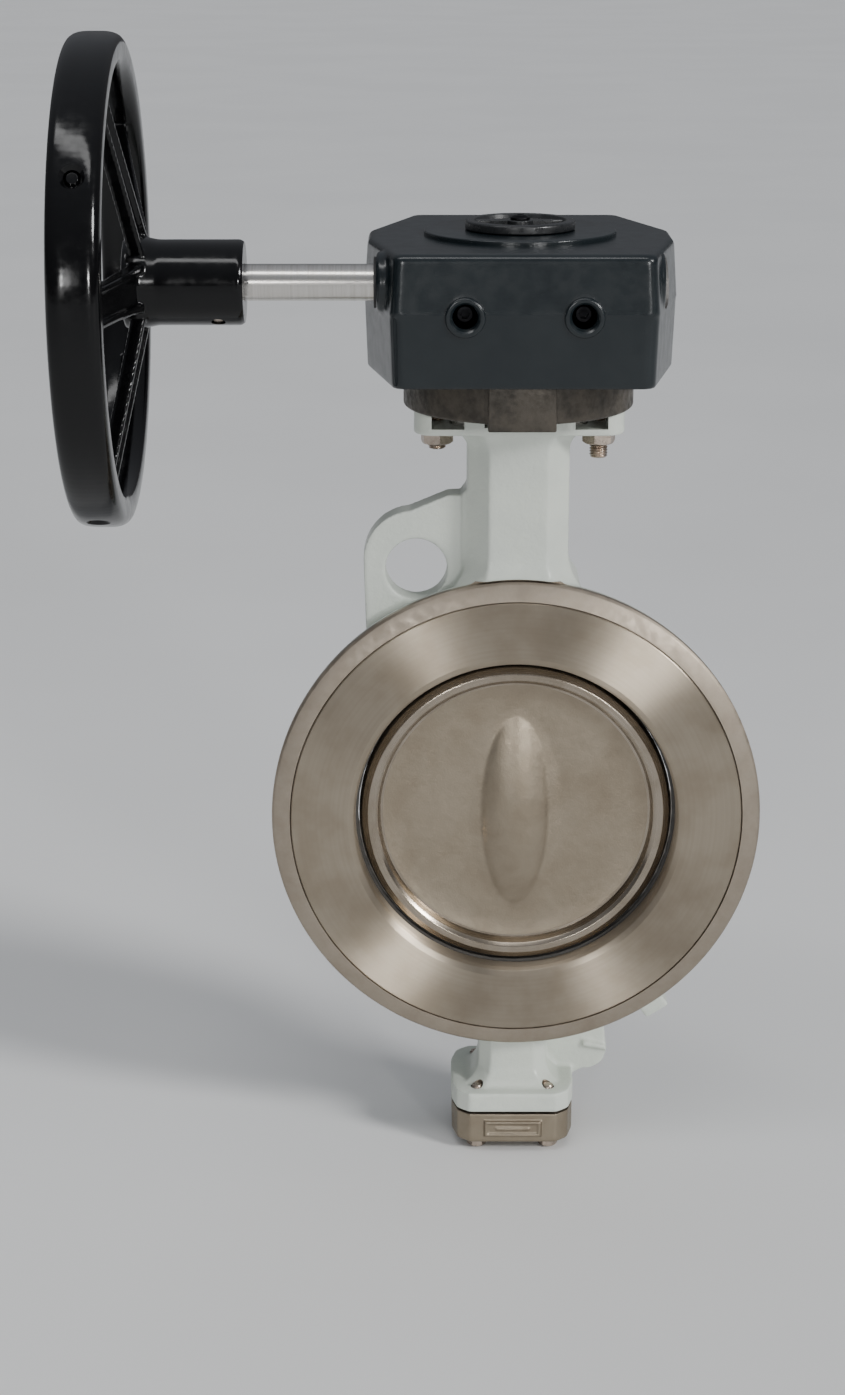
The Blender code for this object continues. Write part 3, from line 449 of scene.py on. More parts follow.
def small_fixings():
    """The hub pin, the plugs in the rim, the stop screws and the worm's end plug."""
    pin = rod("hub_pin_bar", 2.5 * MM, -16.4 * MM, 16.4 * MM, Z_AXIS, edge=0.5 * MM)
    pin.data.transform(hub_pin_place())
    finished(pin, WHEEL_BODY, "fastener_steel", "hub_pin")
    for node, angle in RIM_PLUGS:
        plug = turned(f"{node}_cap", mm(
            (0, 98.6), (2.2, 98.6, 0.3), (3.1, 97.6, 0.3), (3.1, 95.3), (0, 95.3),
        ), Z_AXIS, steps=SMALL)
        plug.data.transform(rim_place(angle))
        finished(plug, WHEEL_BODY, "black_gloss", node)
    for side in ("left", "right"):
        node = f"stop_screw_{side}"
        low, high = span(node, Y_AXIS)
        at = (middle(node, X_AXIS), middle(node, Z_AXIS))
        screw = threaded(f"stop_thread_{side}", 3.8 * MM, 1.25 * MM, low, high, (0, 0))
        mirror = Matrix.Scale(-1, 4, (0, 0, 1))
        lying = Matrix.Translation((at[0], 0, at[1])) @ Matrix.Rotation(math.pi / 2, 4, "X")
        screw.data.transform(lying @ mirror)
        screw.data.flip_normals()
        socket = rod(f"stop_socket_{side}", 2.2 * MM, low - 1 * MM, low + 4 * MM, Y_AXIS, at, steps=6)
        finished(cut(screw, socket), FIXED, "black_oxide", node)
    low = span("worm_end_plug", X_AXIS)[0]
    high = low + 1.2 * MM
    end_plug = turned("shaft_end_plug", [
        (0, high - 0.6 * MM), (7 * MM, high - 0.6 * MM, 0.3 * MM), (7.6 * MM, high, 0.2 * MM),
        (10.5 * MM, high, 0.6 * MM), (10.5 * MM, low), (0, low),
    ], X_AXIS, SHAFT_LINE)
    finished(end_plug, FIXED, "bright_steel", "worm_end_plug")


# ---------------------------------------------------------------- valve body

BODY_R = 108 * MM
RETAINER_R = half("retainer_ring", X_AXIS)
RETAINER_BORE_R = 71 * MM
BORE_R = 73 * MM
SEAT_BACK_Y = -14.2 * MM
COUNTERBORE_Y = -16.7 * MM
FLANGE_LOW_Z = 171.9 * MM
FLANGE_TOP_Z = 181 * MM
FOOT_LOW_Z = -141.3 * MM
FOOT_TOP_Z = -132.5 * MM
STUD_X = 35 * MM
GLAND_BOLT_X = 24.5 * MM
GLAND_HOLE_Z = 172.1 * MM
COVER_SCREW = (16.3 * MM, 18.5 * MM)
STOCK = 0.8 * MM


def octagon(half_width, facet):
    quarter = [(facet, -half_width), (half_width, -facet), (half_width, facet), (facet, half_width)]
    return quarter + [(-x, -y) for x, y in quarter]


def tower(name, outline, levels):
    """An outline repeated at each (height, scale) level."""
    return loft(name, [[(x * scale, y * scale, z) for x, y in outline] for z, scale in levels])


def flared_neck():
    """The octagonal neck, sweeping out into the ring below and into the ears of the top flange above."""
    foot_z, foot_top = 104 * MM, 119 * MM
    shoulder_z, shoulder_top = 163.5 * MM, 172.6 * MM
    levels = [(90 * MM, 1.2, 1.2)]
    for i in range(9):
        t = i / 8
        flare = 1 + 0.25 * (1 - t) ** 2.2
        levels.append((foot_z + (foot_top - foot_z) * t, flare, flare))
    for i in range(9):
        t = i / 8
        levels.append((shoulder_z + (shoulder_top - shoulder_z) * t, 1 + 0.3 * t ** 2.4, 1 + 0.08 * t ** 2.4))
    levels.append((FLANGE_TOP_Z - 3 * MM, 1.3, 1.08))
    rows = [[(x * wide, y * deep, z) for x, y in octagon(22 * MM, 12.6 * MM)] for z, wide, deep in levels]
    return loft("neck", rows)


def lifting_lug():
    arc_centre, arc_r = Vector((-45 * MM, 114 * MM)), 22 * MM
    arc = [
        tuple(arc_centre + arc_r * Vector((math.cos(math.radians(a)), math.sin(math.radians(a)))))
        for a in range(95, 186, 6)
    ]
    outline = [*mm((-10, 88), (-10, 143.5), (-30, 143)), *arc, *mm((-66, 80), (-50, 72))]
    lug = plate("lug", outline, -10 * MM, 4 * MM, Y_AXIS)
    root_outline = mm((-32, 90), (-12, 90), (-12, 147), (-20.5, 148.5), (-24, 144), (-24, 103))
    root = plate("lug_root", root_outline, -11.5 * MM, 5.5 * MM, Y_AXIS)
    return cut(lug, rod("lug_hole", 13.5 * MM, -14 * MM, 8 * MM, Y_AXIS, (-44 * MM, 110 * MM))), root


def foot_outline(outset=0.0):
    """The foot and its cover share this outline: flat in front and behind, round at the sides."""
    quarter = mm((20, -27, 3), (25.5, -22, 5), (28, -12, 8))
    right = quarter + [(x, -y, r) for x, y, r in reversed(quarter)]
    grow = 1 + outset / (28 * MM)
    return [(x * grow, y * grow) for x, y in eased(right + [(-x, -y, r) for x, y, r in right], segments=4)]


def foot_pieces():
    """The stub below the ring, its flange, the lobed ear behind it and the small toe on the ring."""
    levels = [(-92 * MM, 1.12), (-97 * MM, 1.03), (-104 * MM, 1.0), (-122 * MM, 1.0)]
    for i in range(1, 7):
        t = i / 6
        levels.append((-122 * MM - 11 * MM * t, 1 + 0.42 * t ** 2.4))
    levels.append((-138 * MM, 1.42))
    stub = tower("foot_stub", octagon(15.5 * MM, 10 * MM), levels[::-1])
    flange = plate("foot_flange", foot_outline(), FOOT_LOW_Z - 1.1 * MM, FOOT_TOP_Z, Z_AXIS)
    ear_outline = eased(mm(
        (10, -92), (10, -138), (27, -138), (31.5, -134.5), (38, -133.5, 2), (42.5, -130.5, 3),
        (44.5, -125, 4), (43, -112, 6), (44, -84),
    ))
    ear = plate("foot_ear", ear_outline, 4 * MM, 15 * MM, Y_AXIS)
    ridge_outline = mm((33, -119), (43.6, -121.5), (44, -124), (33, -122))
    ridge = plate("ear_ridge", ridge_outline, 2 * MM, 14 * MM, Y_AXIS)
    toe_turn = Matrix.Rotation(math.radians(-33.5), 4, "Y")
    toe = block("toe", *mm((-6, -6, -121), (6, 6, -90)), turn=toe_turn)
    return stub, flange, ear, ridge, toe


def body_casting():
    ring_profile = [
        (91 * MM, REAR_Y + STOCK), (92.5 * MM, 26.5 * MM), (96.5 * MM, 12 * MM),
        (97 * MM, -7 * MM, 4 * MM), (106 * MM, -14 * MM, 3 * MM), (BODY_R - 0.5 * MM, -16.6 * MM),
        (BODY_R - 0.2 * MM, -21 * MM), (BODY_R + STOCK, -22.6 * MM), (BODY_R + STOCK, FACE_Y - STOCK),
        (66 * MM, FACE_Y - STOCK), (66 * MM, REAR_Y + STOCK),
    ]
    ring = turned("ring", ring_profile, Y_AXIS)
    flange_outline = with_fillets(box_outline(45 * MM, 24 * MM), 9 * MM)
    flange = plate("flange", flange_outline, FLANGE_LOW_Z - 0.4 * MM, FLANGE_TOP_Z + 1.1 * MM, Z_AXIS)
    neck = flared_neck()
    casting = gathered("body", ring, flange, neck, *lifting_lug(), *foot_pieces())
    return cast(casting, 0.8 * MM, 5)


def front_trimmer():
    """Leaves the turned band round the front face, with its chamfers, and takes away what lies outside it."""
    out = BODY_R + 1.1 * MM
    return turned("front_trimmer", [
        (out, -21.1 * MM), (out, FACE_Y - 5 * MM), (RETAINER_R - 5 * MM, FACE_Y - 5 * MM),
        (RETAINER_R - 5 * MM, FACE_Y), (RETAINER_R + 0.7 * MM, FACE_Y), (107 * MM, -25.4 * MM, 0.6 * MM),
        (BODY_R, -24.4 * MM, 0.4 * MM), (BODY_R, -21.1 * MM),
    ], Y_AXIS)


def body_bore():
    return turned("bore_cutter", [
        (0, REAR_Y + 3 * MM), (BORE_R + 4 * MM, REAR_Y + 3 * MM), (BORE_R + 1.5 * MM, REAR_Y),
        (BORE_R, 26.5 * MM), (BORE_R, SEAT_BACK_Y), (75.6 * MM, SEAT_BACK_Y), (75.6 * MM, -12 * MM),
        (79.4 * MM, -12 * MM), (79.4 * MM, SEAT_BACK_Y), (85.3 * MM, SEAT_BACK_Y),
        (85.3 * MM, COUNTERBORE_Y), (RETAINER_R + 0.3 * MM, COUNTERBORE_Y),
        (RETAINER_R + 0.3 * MM, FACE_Y + 0.4 * MM), (RETAINER_R + 1.2 * MM, FACE_Y - 2 * MM),
        (0, FACE_Y - 2 * MM),
    ], Y_AXIS)


def stem_line_bores():
    """The bores along the stem, one within another, as one cutter."""
    stepped = turned("stem_bores", mm(
        (0, 175), (16.3, 175), (16.3, 140.7), (10.4, 140.7), (10.4, 112), (13.3, 112), (13.3, 60),
        (0, 60),
    ), Z_AXIS, steps=SMALL)
    lower = rod("lower_bore", 13.3 * MM, -150 * MM, -60 * MM, Z_AXIS)
    return stepped, lower


def drilled_holes():
    holes = []
    for side in (-1, 1):
        holes.append(rod("stud_hole", 4.4 * MM, 150 * MM, 190 * MM, Z_AXIS, (side * STUD_X, 0)))
        holes.append(rod("spot_face", 8.6 * MM, 158 * MM, FLANGE_LOW_Z, Z_AXIS, (side * STUD_X, 0)))
        holes.append(rod("gland_hole", 2.7 * MM, GLAND_HOLE_Z, 175 * MM, Z_AXIS, (side * GLAND_BOLT_X, 0)))
    for at in corners_of(*COVER_SCREW):
        holes.append(rod("foot_hole", 2.8 * MM, -150 * MM, -128 * MM, Z_AXIS, at))
    return holes


def flange_pockets():
    """The milled pocket in the top flange, its side windows, the gland's seat and the notch for the tab."""
    gland_outline = with_fillets(box_outline(30 * MM, 13 * MM), 6 * MM)
    gland = plate("gland_seat", gland_outline, 172.7 * MM, 190 * MM, Z_AXIS)
    pocket = plate("pocket", box_outline(39.5 * MM, 16.5 * MM), 176 * MM, 190 * MM, Z_AXIS)
    windows = [
        block("window", (min(a, b), -30 * MM, 174.5 * MM), (max(a, b), 30 * MM, 190 * MM))
        for a, b in ((-37.5 * MM, -23.5 * MM), (23.5 * MM, 37.5 * MM))
    ]
    notch = block("notch", *mm((-15, -30, 175.2), (15, -16, 190)))
    return gland, pocket, *windows, notch


def valve_body():
    body = body_casting()
    body.name = "valve_body_casting"
    top = block("top_cut", (-60 * MM, -40 * MM, FLANGE_TOP_Z), (60 * MM, 40 * MM, FLANGE_TOP_Z + 9 * MM))
    bottom = block("bottom_cut", (-60 * MM, -40 * MM, FOOT_LOW_Z - 9 * MM), (60 * MM, 40 * MM, FOOT_LOW_Z))
    rear = tube("rear_cut", 60 * MM, 120 * MM, REAR_Y, REAR_Y + 9 * MM, Y_AXIS)
    trims = [front_trimmer(), body_bore(), top, bottom, rear]
    cut(body, *trims, *stem_line_bores(), *drilled_holes(), index=MACHINED)
    cut(body, *flange_pockets(), index=AS_CAST)
    finished(body, FIXED, "body_paint", "valve_body", machined="machined_body")


def retainer_ring():
    back = span("retainer_ring", Y_AXIS)[1]
    ring = turned("retainer", [
        (RETAINER_BORE_R, back), (RETAINER_R, back), (RETAINER_R, FACE_Y + 0.5 * MM, 0.1 * MM),
        (RETAINER_R - 0.5 * MM, FACE_Y, 0.2 * MM), (RETAINER_BORE_R + 3.4 * MM, FACE_Y, 1.2 * MM),
        (RETAINER_BORE_R + 0.8 * MM, FACE_Y + 1.2 * MM, 1.2 * MM),
        (RETAINER_BORE_R, FACE_Y + 3.4 * MM, 0.8 * MM),
    ], Y_AXIS, steps=256)
    finished(ring, FIXED, "turned_steel", "retainer_ring", sharp=20)


# ---------------------------------------------------------------- disc

DISC_R = half("disc", X_AXIS)
DISH_R = 60 * MM
DISH_Y = -14.5 * MM
DISC_REAR_Y = -9 * MM
HUB_R = 14.3 * MM
HUB_HALF_Z = 64 * MM


def swelling(x, z, half_x, half_z, power):
    inside = 1 - (x / half_x) ** 2 - (z / half_z) ** 2
    return inside ** power if inside > 0 else 0


def dish_front(x, z):
    """The cast front of the disc: a shallow dish with a low mound and a creased lens-shaped rib on it."""
    r = math.hypot(x, z)
    mound = 2.0 * MM * swelling(x, z, 21 * MM, 48 * MM, 1.3)
    lens = 4.0 * MM * swelling(x, z, 15 * MM, 44 * MM, 0.85)
    rise = max(0, (r - 50 * MM) / (DISH_R - 50 * MM))
    return DISH_Y - mound - lens - 0.9 * MM * rise ** 2


def disc_rear(x, z):
    """The disc's rear, with the hub that the stem passes through."""
    if abs(x) >= HUB_R or abs(z) >= HUB_HALF_Z:
        return DISC_REAR_Y
    end = min(1, (HUB_HALF_Z - abs(z)) / (2 * MM)) ** 0.5
    return DISC_REAR_Y + (HUB_R - DISC_REAR_Y) * (1 - (x / HUB_R) ** 2) ** 0.5 * end


def disc():
    """One skin of rings of points, from the middle of the front, out round the sealing edge, to the rear."""
    rim = eased([
        (DISH_R, DISH_Y - 0.9 * MM, 0.4 * MM), (61 * MM, -19.6 * MM, 1.2 * MM),
        (62.6 * MM, -20.9 * MM, 0.7 * MM), (65.4 * MM, -20.95 * MM, 1.4 * MM),
        (68.2 * MM, -19 * MM, 2 * MM), (69.1 * MM, -16.5 * MM, 1 * MM), (DISC_R, -15 * MM, 0.5 * MM),
        (69 * MM, -13 * MM, 1 * MM), (66.5 * MM, -10.3 * MM, 1.5 * MM),
    ])
    steps = 240
    ring_gap = 1 * MM
    fronts = [i * ring_gap for i in range(1, int(DISH_R / ring_gap))]
    shape = bmesh.new()

    def ring_of(radius, height):
        row = []
        for i in range(steps):
            angle = 2 * math.pi * i / steps
            x, z = radius * math.cos(angle), radius * math.sin(angle)
            row.append(shape.verts.new((x, height(x, z), z)))
        return row

    rows = [ring_of(r, dish_front) for r in fronts]
    rows += [ring_of(r, lambda x, z, y=y: y) for r, y in rim[1:-1]]
    rows += [ring_of(r, disc_rear) for r in reversed([*fronts, *(DISH_R + i * ring_gap for i in range(5))])]
    for number, (low, high) in enumerate(zip(rows, rows[1:]), 1):
        on_rim = len(fronts) <= number <= len(fronts) + len(rim)
        for i in range(steps):
            k = (i + 1) % steps
            face = shape.faces.new((low[i], low[k], high[k], high[i]))
            face.material_index = MACHINED if on_rim else AS_CAST
    for row, height in ((rows[0], dish_front), (rows[-1], disc_rear)):
        centre = shape.verts.new((0, height(0, 0), 0))
        for i in range(steps):
            shape.faces.new((row[i], row[(i + 1) % steps], centre))
    plate_part = from_bmesh("disc_plate", shape)
    stem_bore = rod("disc_bore", 10.3 * MM, -72 * MM, 72 * MM, Z_AXIS)
    pin_holes = [rod("pin_hole", 3.3 * MM, -12.4 * MM, 25 * MM, Y_AXIS, (0, z)) for z in (-45 * MM, 45 * MM)]
    cut(plate_part, stem_bore, *pin_holes, index=MACHINED)
    finished(plate_part, STEM_BODY, "cast_steel", "disc", machined="polished_edge")


def disc_pins():
    for node in ("disc_pin_upper", "disc_pin_lower"):
        low, high = span(node, Y_AXIS)
        at = (middle(node, X_AXIS), middle(node, Z_AXIS))
        pin = rod(f"{node}_bar", half(node, X_AXIS), low, high, Y_AXIS, at, edge=0.5 * MM)
        finished(pin, STEM_BODY, "bright_steel", node)


# ---------------------------------------------------------------- bottom cover

def bottom_cover():
    low, high = -157 * MM, -142.9 * MM
    skin = plate("cover_skin", foot_outline(-0.3 * MM), low, high + STOCK, Z_AXIS, edge=1.2 * MM)
    pad = block("cover_pad", *mm((-13, -27.6, -153.5), (13, -25, -146)))
    frame_bars = [
        block("frame_bar", a, b)
        for a, b in (
            ((-12.6 * MM, -28.2 * MM, -153.3 * MM), (12.6 * MM, -26 * MM, -152.2 * MM)),
            ((-12.6 * MM, -28.2 * MM, -147.2 * MM), (12.6 * MM, -26 * MM, -146.1 * MM)),
            ((-12.7 * MM, -28.2 * MM, -153.2 * MM), (-11.6 * MM, -26 * MM, -146.2 * MM)),
            ((11.6 * MM, -28.2 * MM, -153.2 * MM), (12.7 * MM, -26 * MM, -146.2 * MM)),
            ((-7.5 * MM, -28.1 * MM, -150.2 * MM), (7.5 * MM, -26 * MM, -149.2 * MM)),
        )
    ]
    cover = cast(gathered("bottom_cover_casting", skin, pad, *frame_bars), 0.4 * MM, 3)
    joined(cover, rod("cover_spigot", 12.8 * MM, -146 * MM, -115.7 * MM, Z_AXIS, edge=0.5 * MM))
    top = tube("cover_top_cut", 12.8 * MM, 40 * MM, high, high + 5 * MM, Z_AXIS)
    holes = [
        rod("cover_hole", 2.8 * MM, -170 * MM, -135 * MM, Z_AXIS, at) for at in corners_of(*COVER_SCREW)
    ]
    cut(cover, top, *holes, index=MACHINED)
    finished(cover, FIXED, "cast_steel", "bottom_cover", machined="machined_body")


# ---------------------------------------------------------------- gear operator

HOUSING_LOW_Z = span("gear_housing", Z_AXIS)[0]
PAD_TOP_Z = span("gear_housing", Z_AXIS)[1]
HOUSING_TOP_Z = PAD_TOP_Z - 2 * MM
PARTING_Z = 230 * MM
STOP_X = middle("stop_screw_right", X_AXIS)
STOP_Z = middle("stop_screw_right", Z_AXIS)
STOP_FACE_Y = -69 * MM
PAD_R = 40.7 * MM
BOSS_X = (-60.3 * MM, 57.6 * MM)
BASE_SCREW = (42 * MM, 43 * MM)
HOUSING_CORNERS = mm((54, -68), (66, -12), (66, 14), (47, 70))


def housing_outline(inset=0.0, corner=6 * MM):
    """Seen from above, the housing is widest near the stem and narrows in straight lines to both ends."""
    corners = HOUSING_CORNERS + [(-x, y) for x, y in reversed(HOUSING_CORNERS)]
    narrower = 1 - inset / (66 * MM)
    shorter = 1 - inset / (70 * MM)
    return with_fillets([(x * narrower, y * shorter) for x, y in corners], corner)


def housing_casting():
    """Both halves of the housing, which draft inwards away from the parting line between them."""
    levels = [
        (HOUSING_LOW_Z, 0.972), (HOUSING_LOW_Z + 0.6 * MM, 0.977), (HOUSING_LOW_Z + 1.6 * MM, 0.979),
        (PARTING_Z - 0.3 * MM, 0.995),
    ]
    lower = tower("housing_lower", housing_outline(corner=6 * MM), levels)
    edge_r = 3.2 * MM
    levels = [(PARTING_Z - 0.3 * MM, 0.998), (HOUSING_TOP_Z - edge_r, 0.976)]
    for i in range(1, 9):
        angle = math.pi / 2 * i / 8
        levels.append((HOUSING_TOP_Z - edge_r * (1 - math.sin(angle)), 0.976 - 0.045 * (1 - math.cos(angle))))
    upper = tower("housing_upper", housing_outline(corner=4.5 * MM), levels)
    flash_z = (PARTING_Z - 0.7 * MM, PARTING_Z + 0.3 * MM)
    flash = plate("flash", housing_outline(0.1 * MM, 5 * MM), *flash_z, Z_AXIS)
    pieces = [lower, upper, flash]
    pieces.append(rod("shaft_boss_left", 12.6 * MM, BOSS_X[0], -29 * MM, X_AXIS, SHAFT_LINE, 2 * MM, FINE))
    pieces.append(rod("shaft_boss_right", 12.6 * MM, 29 * MM, BOSS_X[1], X_AXIS, SHAFT_LINE, 2 * MM, FINE))
    for x in (-STOP_X, STOP_X):
        pieces.append(rod("stop_boss_core", 8 * MM, -67.6 * MM, -54 * MM, Y_AXIS, (x, STOP_Z)))
    return cast(gathered("gear_housing_casting", *pieces), 0.7 * MM, 3)


def housing_pad():
    """The flat round pad that the position indicator turns on."""
    low = HOUSING_TOP_Z - 2 * MM
    outline = [(0, PAD_TOP_Z), (PAD_R, PAD_TOP_Z, 0.7 * MM), (PAD_R, low), (0, low)]
    return turned("pad", outline, Z_AXIS)


def stop_boss(x):
    """A turned rim round a stop screw's hole."""
    outline = [(0, -60 * MM), (8.4 * MM, -60 * MM), (8.2 * MM, STOP_FACE_Y, 1.1 * MM), (0, STOP_FACE_Y)]
    return turned("stop_boss", outline, Y_AXIS, (x, STOP_Z))


def stop_mouth(x):
    """A stop screw's hole: a coarse thread down to the screw, and clearance beyond it."""
    thread_r, pitch, depth = 5.6 * MM, 1.5 * MM, -58.5 * MM
    outline = [(0, -50 * MM), (4.1 * MM, -50 * MM), (4.1 * MM, depth)]
    ridges = 6
    for i in range(ridges):
        y = depth - i * pitch
        outline += [(thread_r - 0.5 * MM, y), (thread_r + 0.2 * MM, y - pitch / 2)]
    outline += [(thread_r, STOP_FACE_Y + 0.7 * MM), (thread_r + 1 * MM, STOP_FACE_Y - 0.3 * MM)]
    outline += [(thread_r + 1 * MM, STOP_FACE_Y - 4 * MM), (0, STOP_FACE_Y - 4 * MM)]
    return turned("stop_mouth", outline, Y_AXIS, (x, STOP_Z), SMALL)


def gear_housing():
    housing = housing_casting()
    cavity = plate("cavity", housing_outline(5 * MM, 2 * MM), HOUSING_LOW_Z - 2 * MM, 251.2 * MM, Z_AXIS)
    for at in corners_of(*BASE_SCREW):
        cut(cavity, rod("boss_core", 7 * MM, 205.5 * MM, 260 * MM, Z_AXIS, at))
    cutters = [
        cavity,
        rod("shaft_bore", 10.8 * MM, -75 * MM, 75 * MM, X_AXIS, SHAFT_LINE),
        rod("sleeve_bore", 17.4 * MM, 249 * MM, 262 * MM, Z_AXIS),
        block("base_cut", (-80 * MM, -80 * MM, HOUSING_LOW_Z - 5 * MM), (80 * MM, 80 * MM, HOUSING_LOW_Z)),
    ]
    for at in corners_of(*BASE_SCREW):
        cutters.append(rod("screw_hole", 3.3 * MM, 198 * MM, 220 * MM, Z_AXIS, at))
    joined(housing, housing_pad(), stop_boss(-STOP_X), stop_boss(STOP_X))
    cut(housing, *cutters, index=MACHINED)
    cut(housing, stop_mouth(-STOP_X), stop_mouth(STOP_X), index=AS_CAST)
    finished(housing, FIXED, "operator_paint", "gear_housing", machined="machined_iron")


def gear_base():
    """The flange that the housing stands on, its lid plate and the front tab, cast in one."""
    radius = 49.5 * MM
    low, high = 181.3 * MM, 199.2 * MM
    base = turned("gear_base_casting", [
        (0, 204.8 * MM), (46 * MM, 204.8 * MM), (46 * MM, high), (radius, high, 0.4 * MM),
        (radius, low, 1.4 * MM), (0, low),
    ], Z_AXIS)
    lid = plate("lid", housing_outline(5.6 * MM, 2 * MM), 199.8 * MM, 204.8 * MM, Z_AXIS)
    tab = block("tab", *mm((-14.2, -51.5, 178.8), (14.2, -30, 199)), edge=0.7 * MM)
    joined(base, lid, tab)
    cutters = [
        rod("bush_bore", 20.3 * MM, 170 * MM, 210 * MM, Z_AXIS),
        block("tab_relief", *mm((-16, -31, 170), (16, -24.5, 181.3))),
    ]
    for x in (-STUD_X, STUD_X):
        cutters.append(rod("stud_hole", 4.3 * MM, 175 * MM, 197 * MM, Z_AXIS, (x, 0)))
    for at in corners_of(*BASE_SCREW):
        cutters.append(rod("screw_hole", 3.3 * MM, 195 * MM, 210 * MM, Z_AXIS, at))
        cutters.append(rod("screw_recess", 5.4 * MM, 195 * MM, 202.8 * MM, Z_AXIS, at))
    cut(base, *cutters, index=AS_CAST)
    finished(base, FIXED, "cast_iron", "gear_base")


def worm_shaft():
    """The input shaft with its ground journals and a five-turn worm."""
    low, high = span("worm_shaft", X_AXIS)
    radius, neck_r, core_r = 7.5 * MM, 6.5 * MM, 7.2 * MM
    shaft = turned("input_shaft", [
        (0, high), (radius, high, 0.8 * MM), (radius, 29 * MM), (neck_r, 28.5 * MM), (neck_r, 18.5 * MM),
        (core_r, 18 * MM), (core_r, -18 * MM), (neck_r, -18.5 * MM), (neck_r, -28.5 * MM),
        (radius, -29 * MM), (radius, low, 0.8 * MM), (0, low),
    ], X_AXIS, SHAFT_LINE, 96)
    pitch = math.pi * 1.8 * MM
    section = mm((6.6, -1.65), (10.3, -0.6), (10.3, 0.6), (6.6, 1.65))
    per_turn = 48
    rows = []
    for step in range(5 * per_turn + 1):
        angle = 2 * math.pi * step / per_turn
        along = pitch * (step / per_turn - 2.75)
        across, up = math.sin(angle), -math.cos(angle)
        rows.append([(along + dx, r * across + SHAFT_LINE[0], r * up + SHAFT_LINE[1]) for r, dx in section])
    joined(shaft, loft("worm_ridge", rows))
    pin_hole = rod("pin_hole", 2.8 * MM, -12 * MM, 12 * MM, Z_AXIS)
    pin_hole.data.transform(hub_pin_place())
    cut(shaft, pin_hole)
    finished(shaft, WHEEL_BODY, "bright_steel", "worm_shaft", look="shaft_steel")


def position_indicator():
    low, high = span("position_indicator", Z_AXIS)
    high -= 1.4 * MM
    radius = half("position_indicator", X_AXIS)
    dial = turned("indicator_dial", [
        (0, high - 2 * MM), (18.6 * MM, high - 2 * MM, 0.3 * MM), (19.4 * MM, high, 0.4 * MM),
        (radius, high, 1.2 * MM), (radius, low, 0.4 * MM), (0, low),
    ], Z_AXIS)
    arrow = mm((-18.8, -2.4), (13, -2.4), (18.8, 0), (13, 2.4), (-18.8, 2.4))
    bar_outline = with_fillets(arrow, 0.5 * MM)
    pointer = plate("pointer", bar_outline, high - 3.5 * MM, high - 0.2 * MM, Z_AXIS, edge=0.3 * MM)
    boss = rod("pointer_boss", 6 * MM, high - 3.5 * MM, high - 0.1 * MM, Z_AXIS, edge=0.4 * MM)
    joined(dial, pointer, boss)
    cut(dial, rod("screw_hole", 2.5 * MM, low - 2 * MM, high + 2 * MM, Z_AXIS))
    finished(dial, STEM_BODY, "black_plastic", "position_indicator")
    low, high = span("indicator_screw", Z_AXIS)
    high -= 1.4 * MM
    head_outline = [
        (0, high), (2.6 * MM, high, 0.8 * MM), (4.2 * MM, high - 1 * MM, 0.5 * MM),
        (4.2 * MM, high - 1.8 * MM), (0, high - 1.8 * MM),
    ]
    head = turned("dial_screw", head_outline, Z_AXIS, steps=SMALL)
    joined(head, rod("dial_screw_shank", 2 * MM, low, high - 1.5 * MM, Z_AXIS))
    cut(head, rod("dial_screw_socket", 1.6 * MM, high - 1.1 * MM, high + 1 * MM, Z_AXIS, steps=6))
    finished(head, STEM_BODY, "black_oxide", "indicator_screw")


# ---------------------------------------------------------------- handwheel

RIM_X = middle("rim_plug_upper", X_AXIS)
RIM_R = half("handwheel", Y_AXIS)
RIM_RADIAL = 14 * MM
RIM_AXIAL_HALF = 10.6 * MM
WHEEL_HUB_X = (-163 * MM, span("handwheel", X_AXIS)[1])
WHEEL_HUB_R = 17.4 * MM
SPOKES = 5


def squared(value):
    """Squares off a circle's cosine or sine, so that the rim's section is a rounded rectangle."""
    return math.copysign(abs(value) ** 0.58, value)


def wheel_rim():
    middle_r = RIM_R - RIM_RADIAL / 2
    points = 40
    section = []
    for i in range(points):
        angle = 2 * math.pi * i / points
        out = RIM_RADIAL / 2 * squared(math.cos(angle))
        section.append((middle_r + out, RIM_X - RIM_AXIAL_HALF * squared(math.sin(angle))))
    return turned("rim", section, X_AXIS, SHAFT_LINE)


def spoke(index):
    """A channel bar from the hub out to the rim, dished so that the rim lies beyond the hub's end."""
    inner_r, outer_r = 13 * MM, RIM_R - RIM_RADIAL + 3 * MM
    start_x = WHEEL_HUB_X[0] + 6 * MM
    rows = []
    for i in range(13):
        t = i / 12
        widen = 1 + 0.25 * (1 - t) ** 3 + 0.2 * t ** 6
        r = inner_r + (outer_r - inner_r) * t
        x = start_x + (RIM_X - start_x) * t
        section = [(-8, -2), (8, -2), (8, 4), (5.4, 4), (5.0, 1.6), (-5.0, 1.6), (-5.4, 4), (-8, 4)]
        rows.append([(x + up * MM, side * widen * MM, r) for side, up in section])
    bar = loft(f"spoke_{index}", rows)
    turn = math.pi / 2 + index * 2 * math.pi / SPOKES
    bar.data.transform(Matrix.Translation((0, *SHAFT_LINE)) @ Matrix.Rotation(turn, 4, "X"))
    return bar


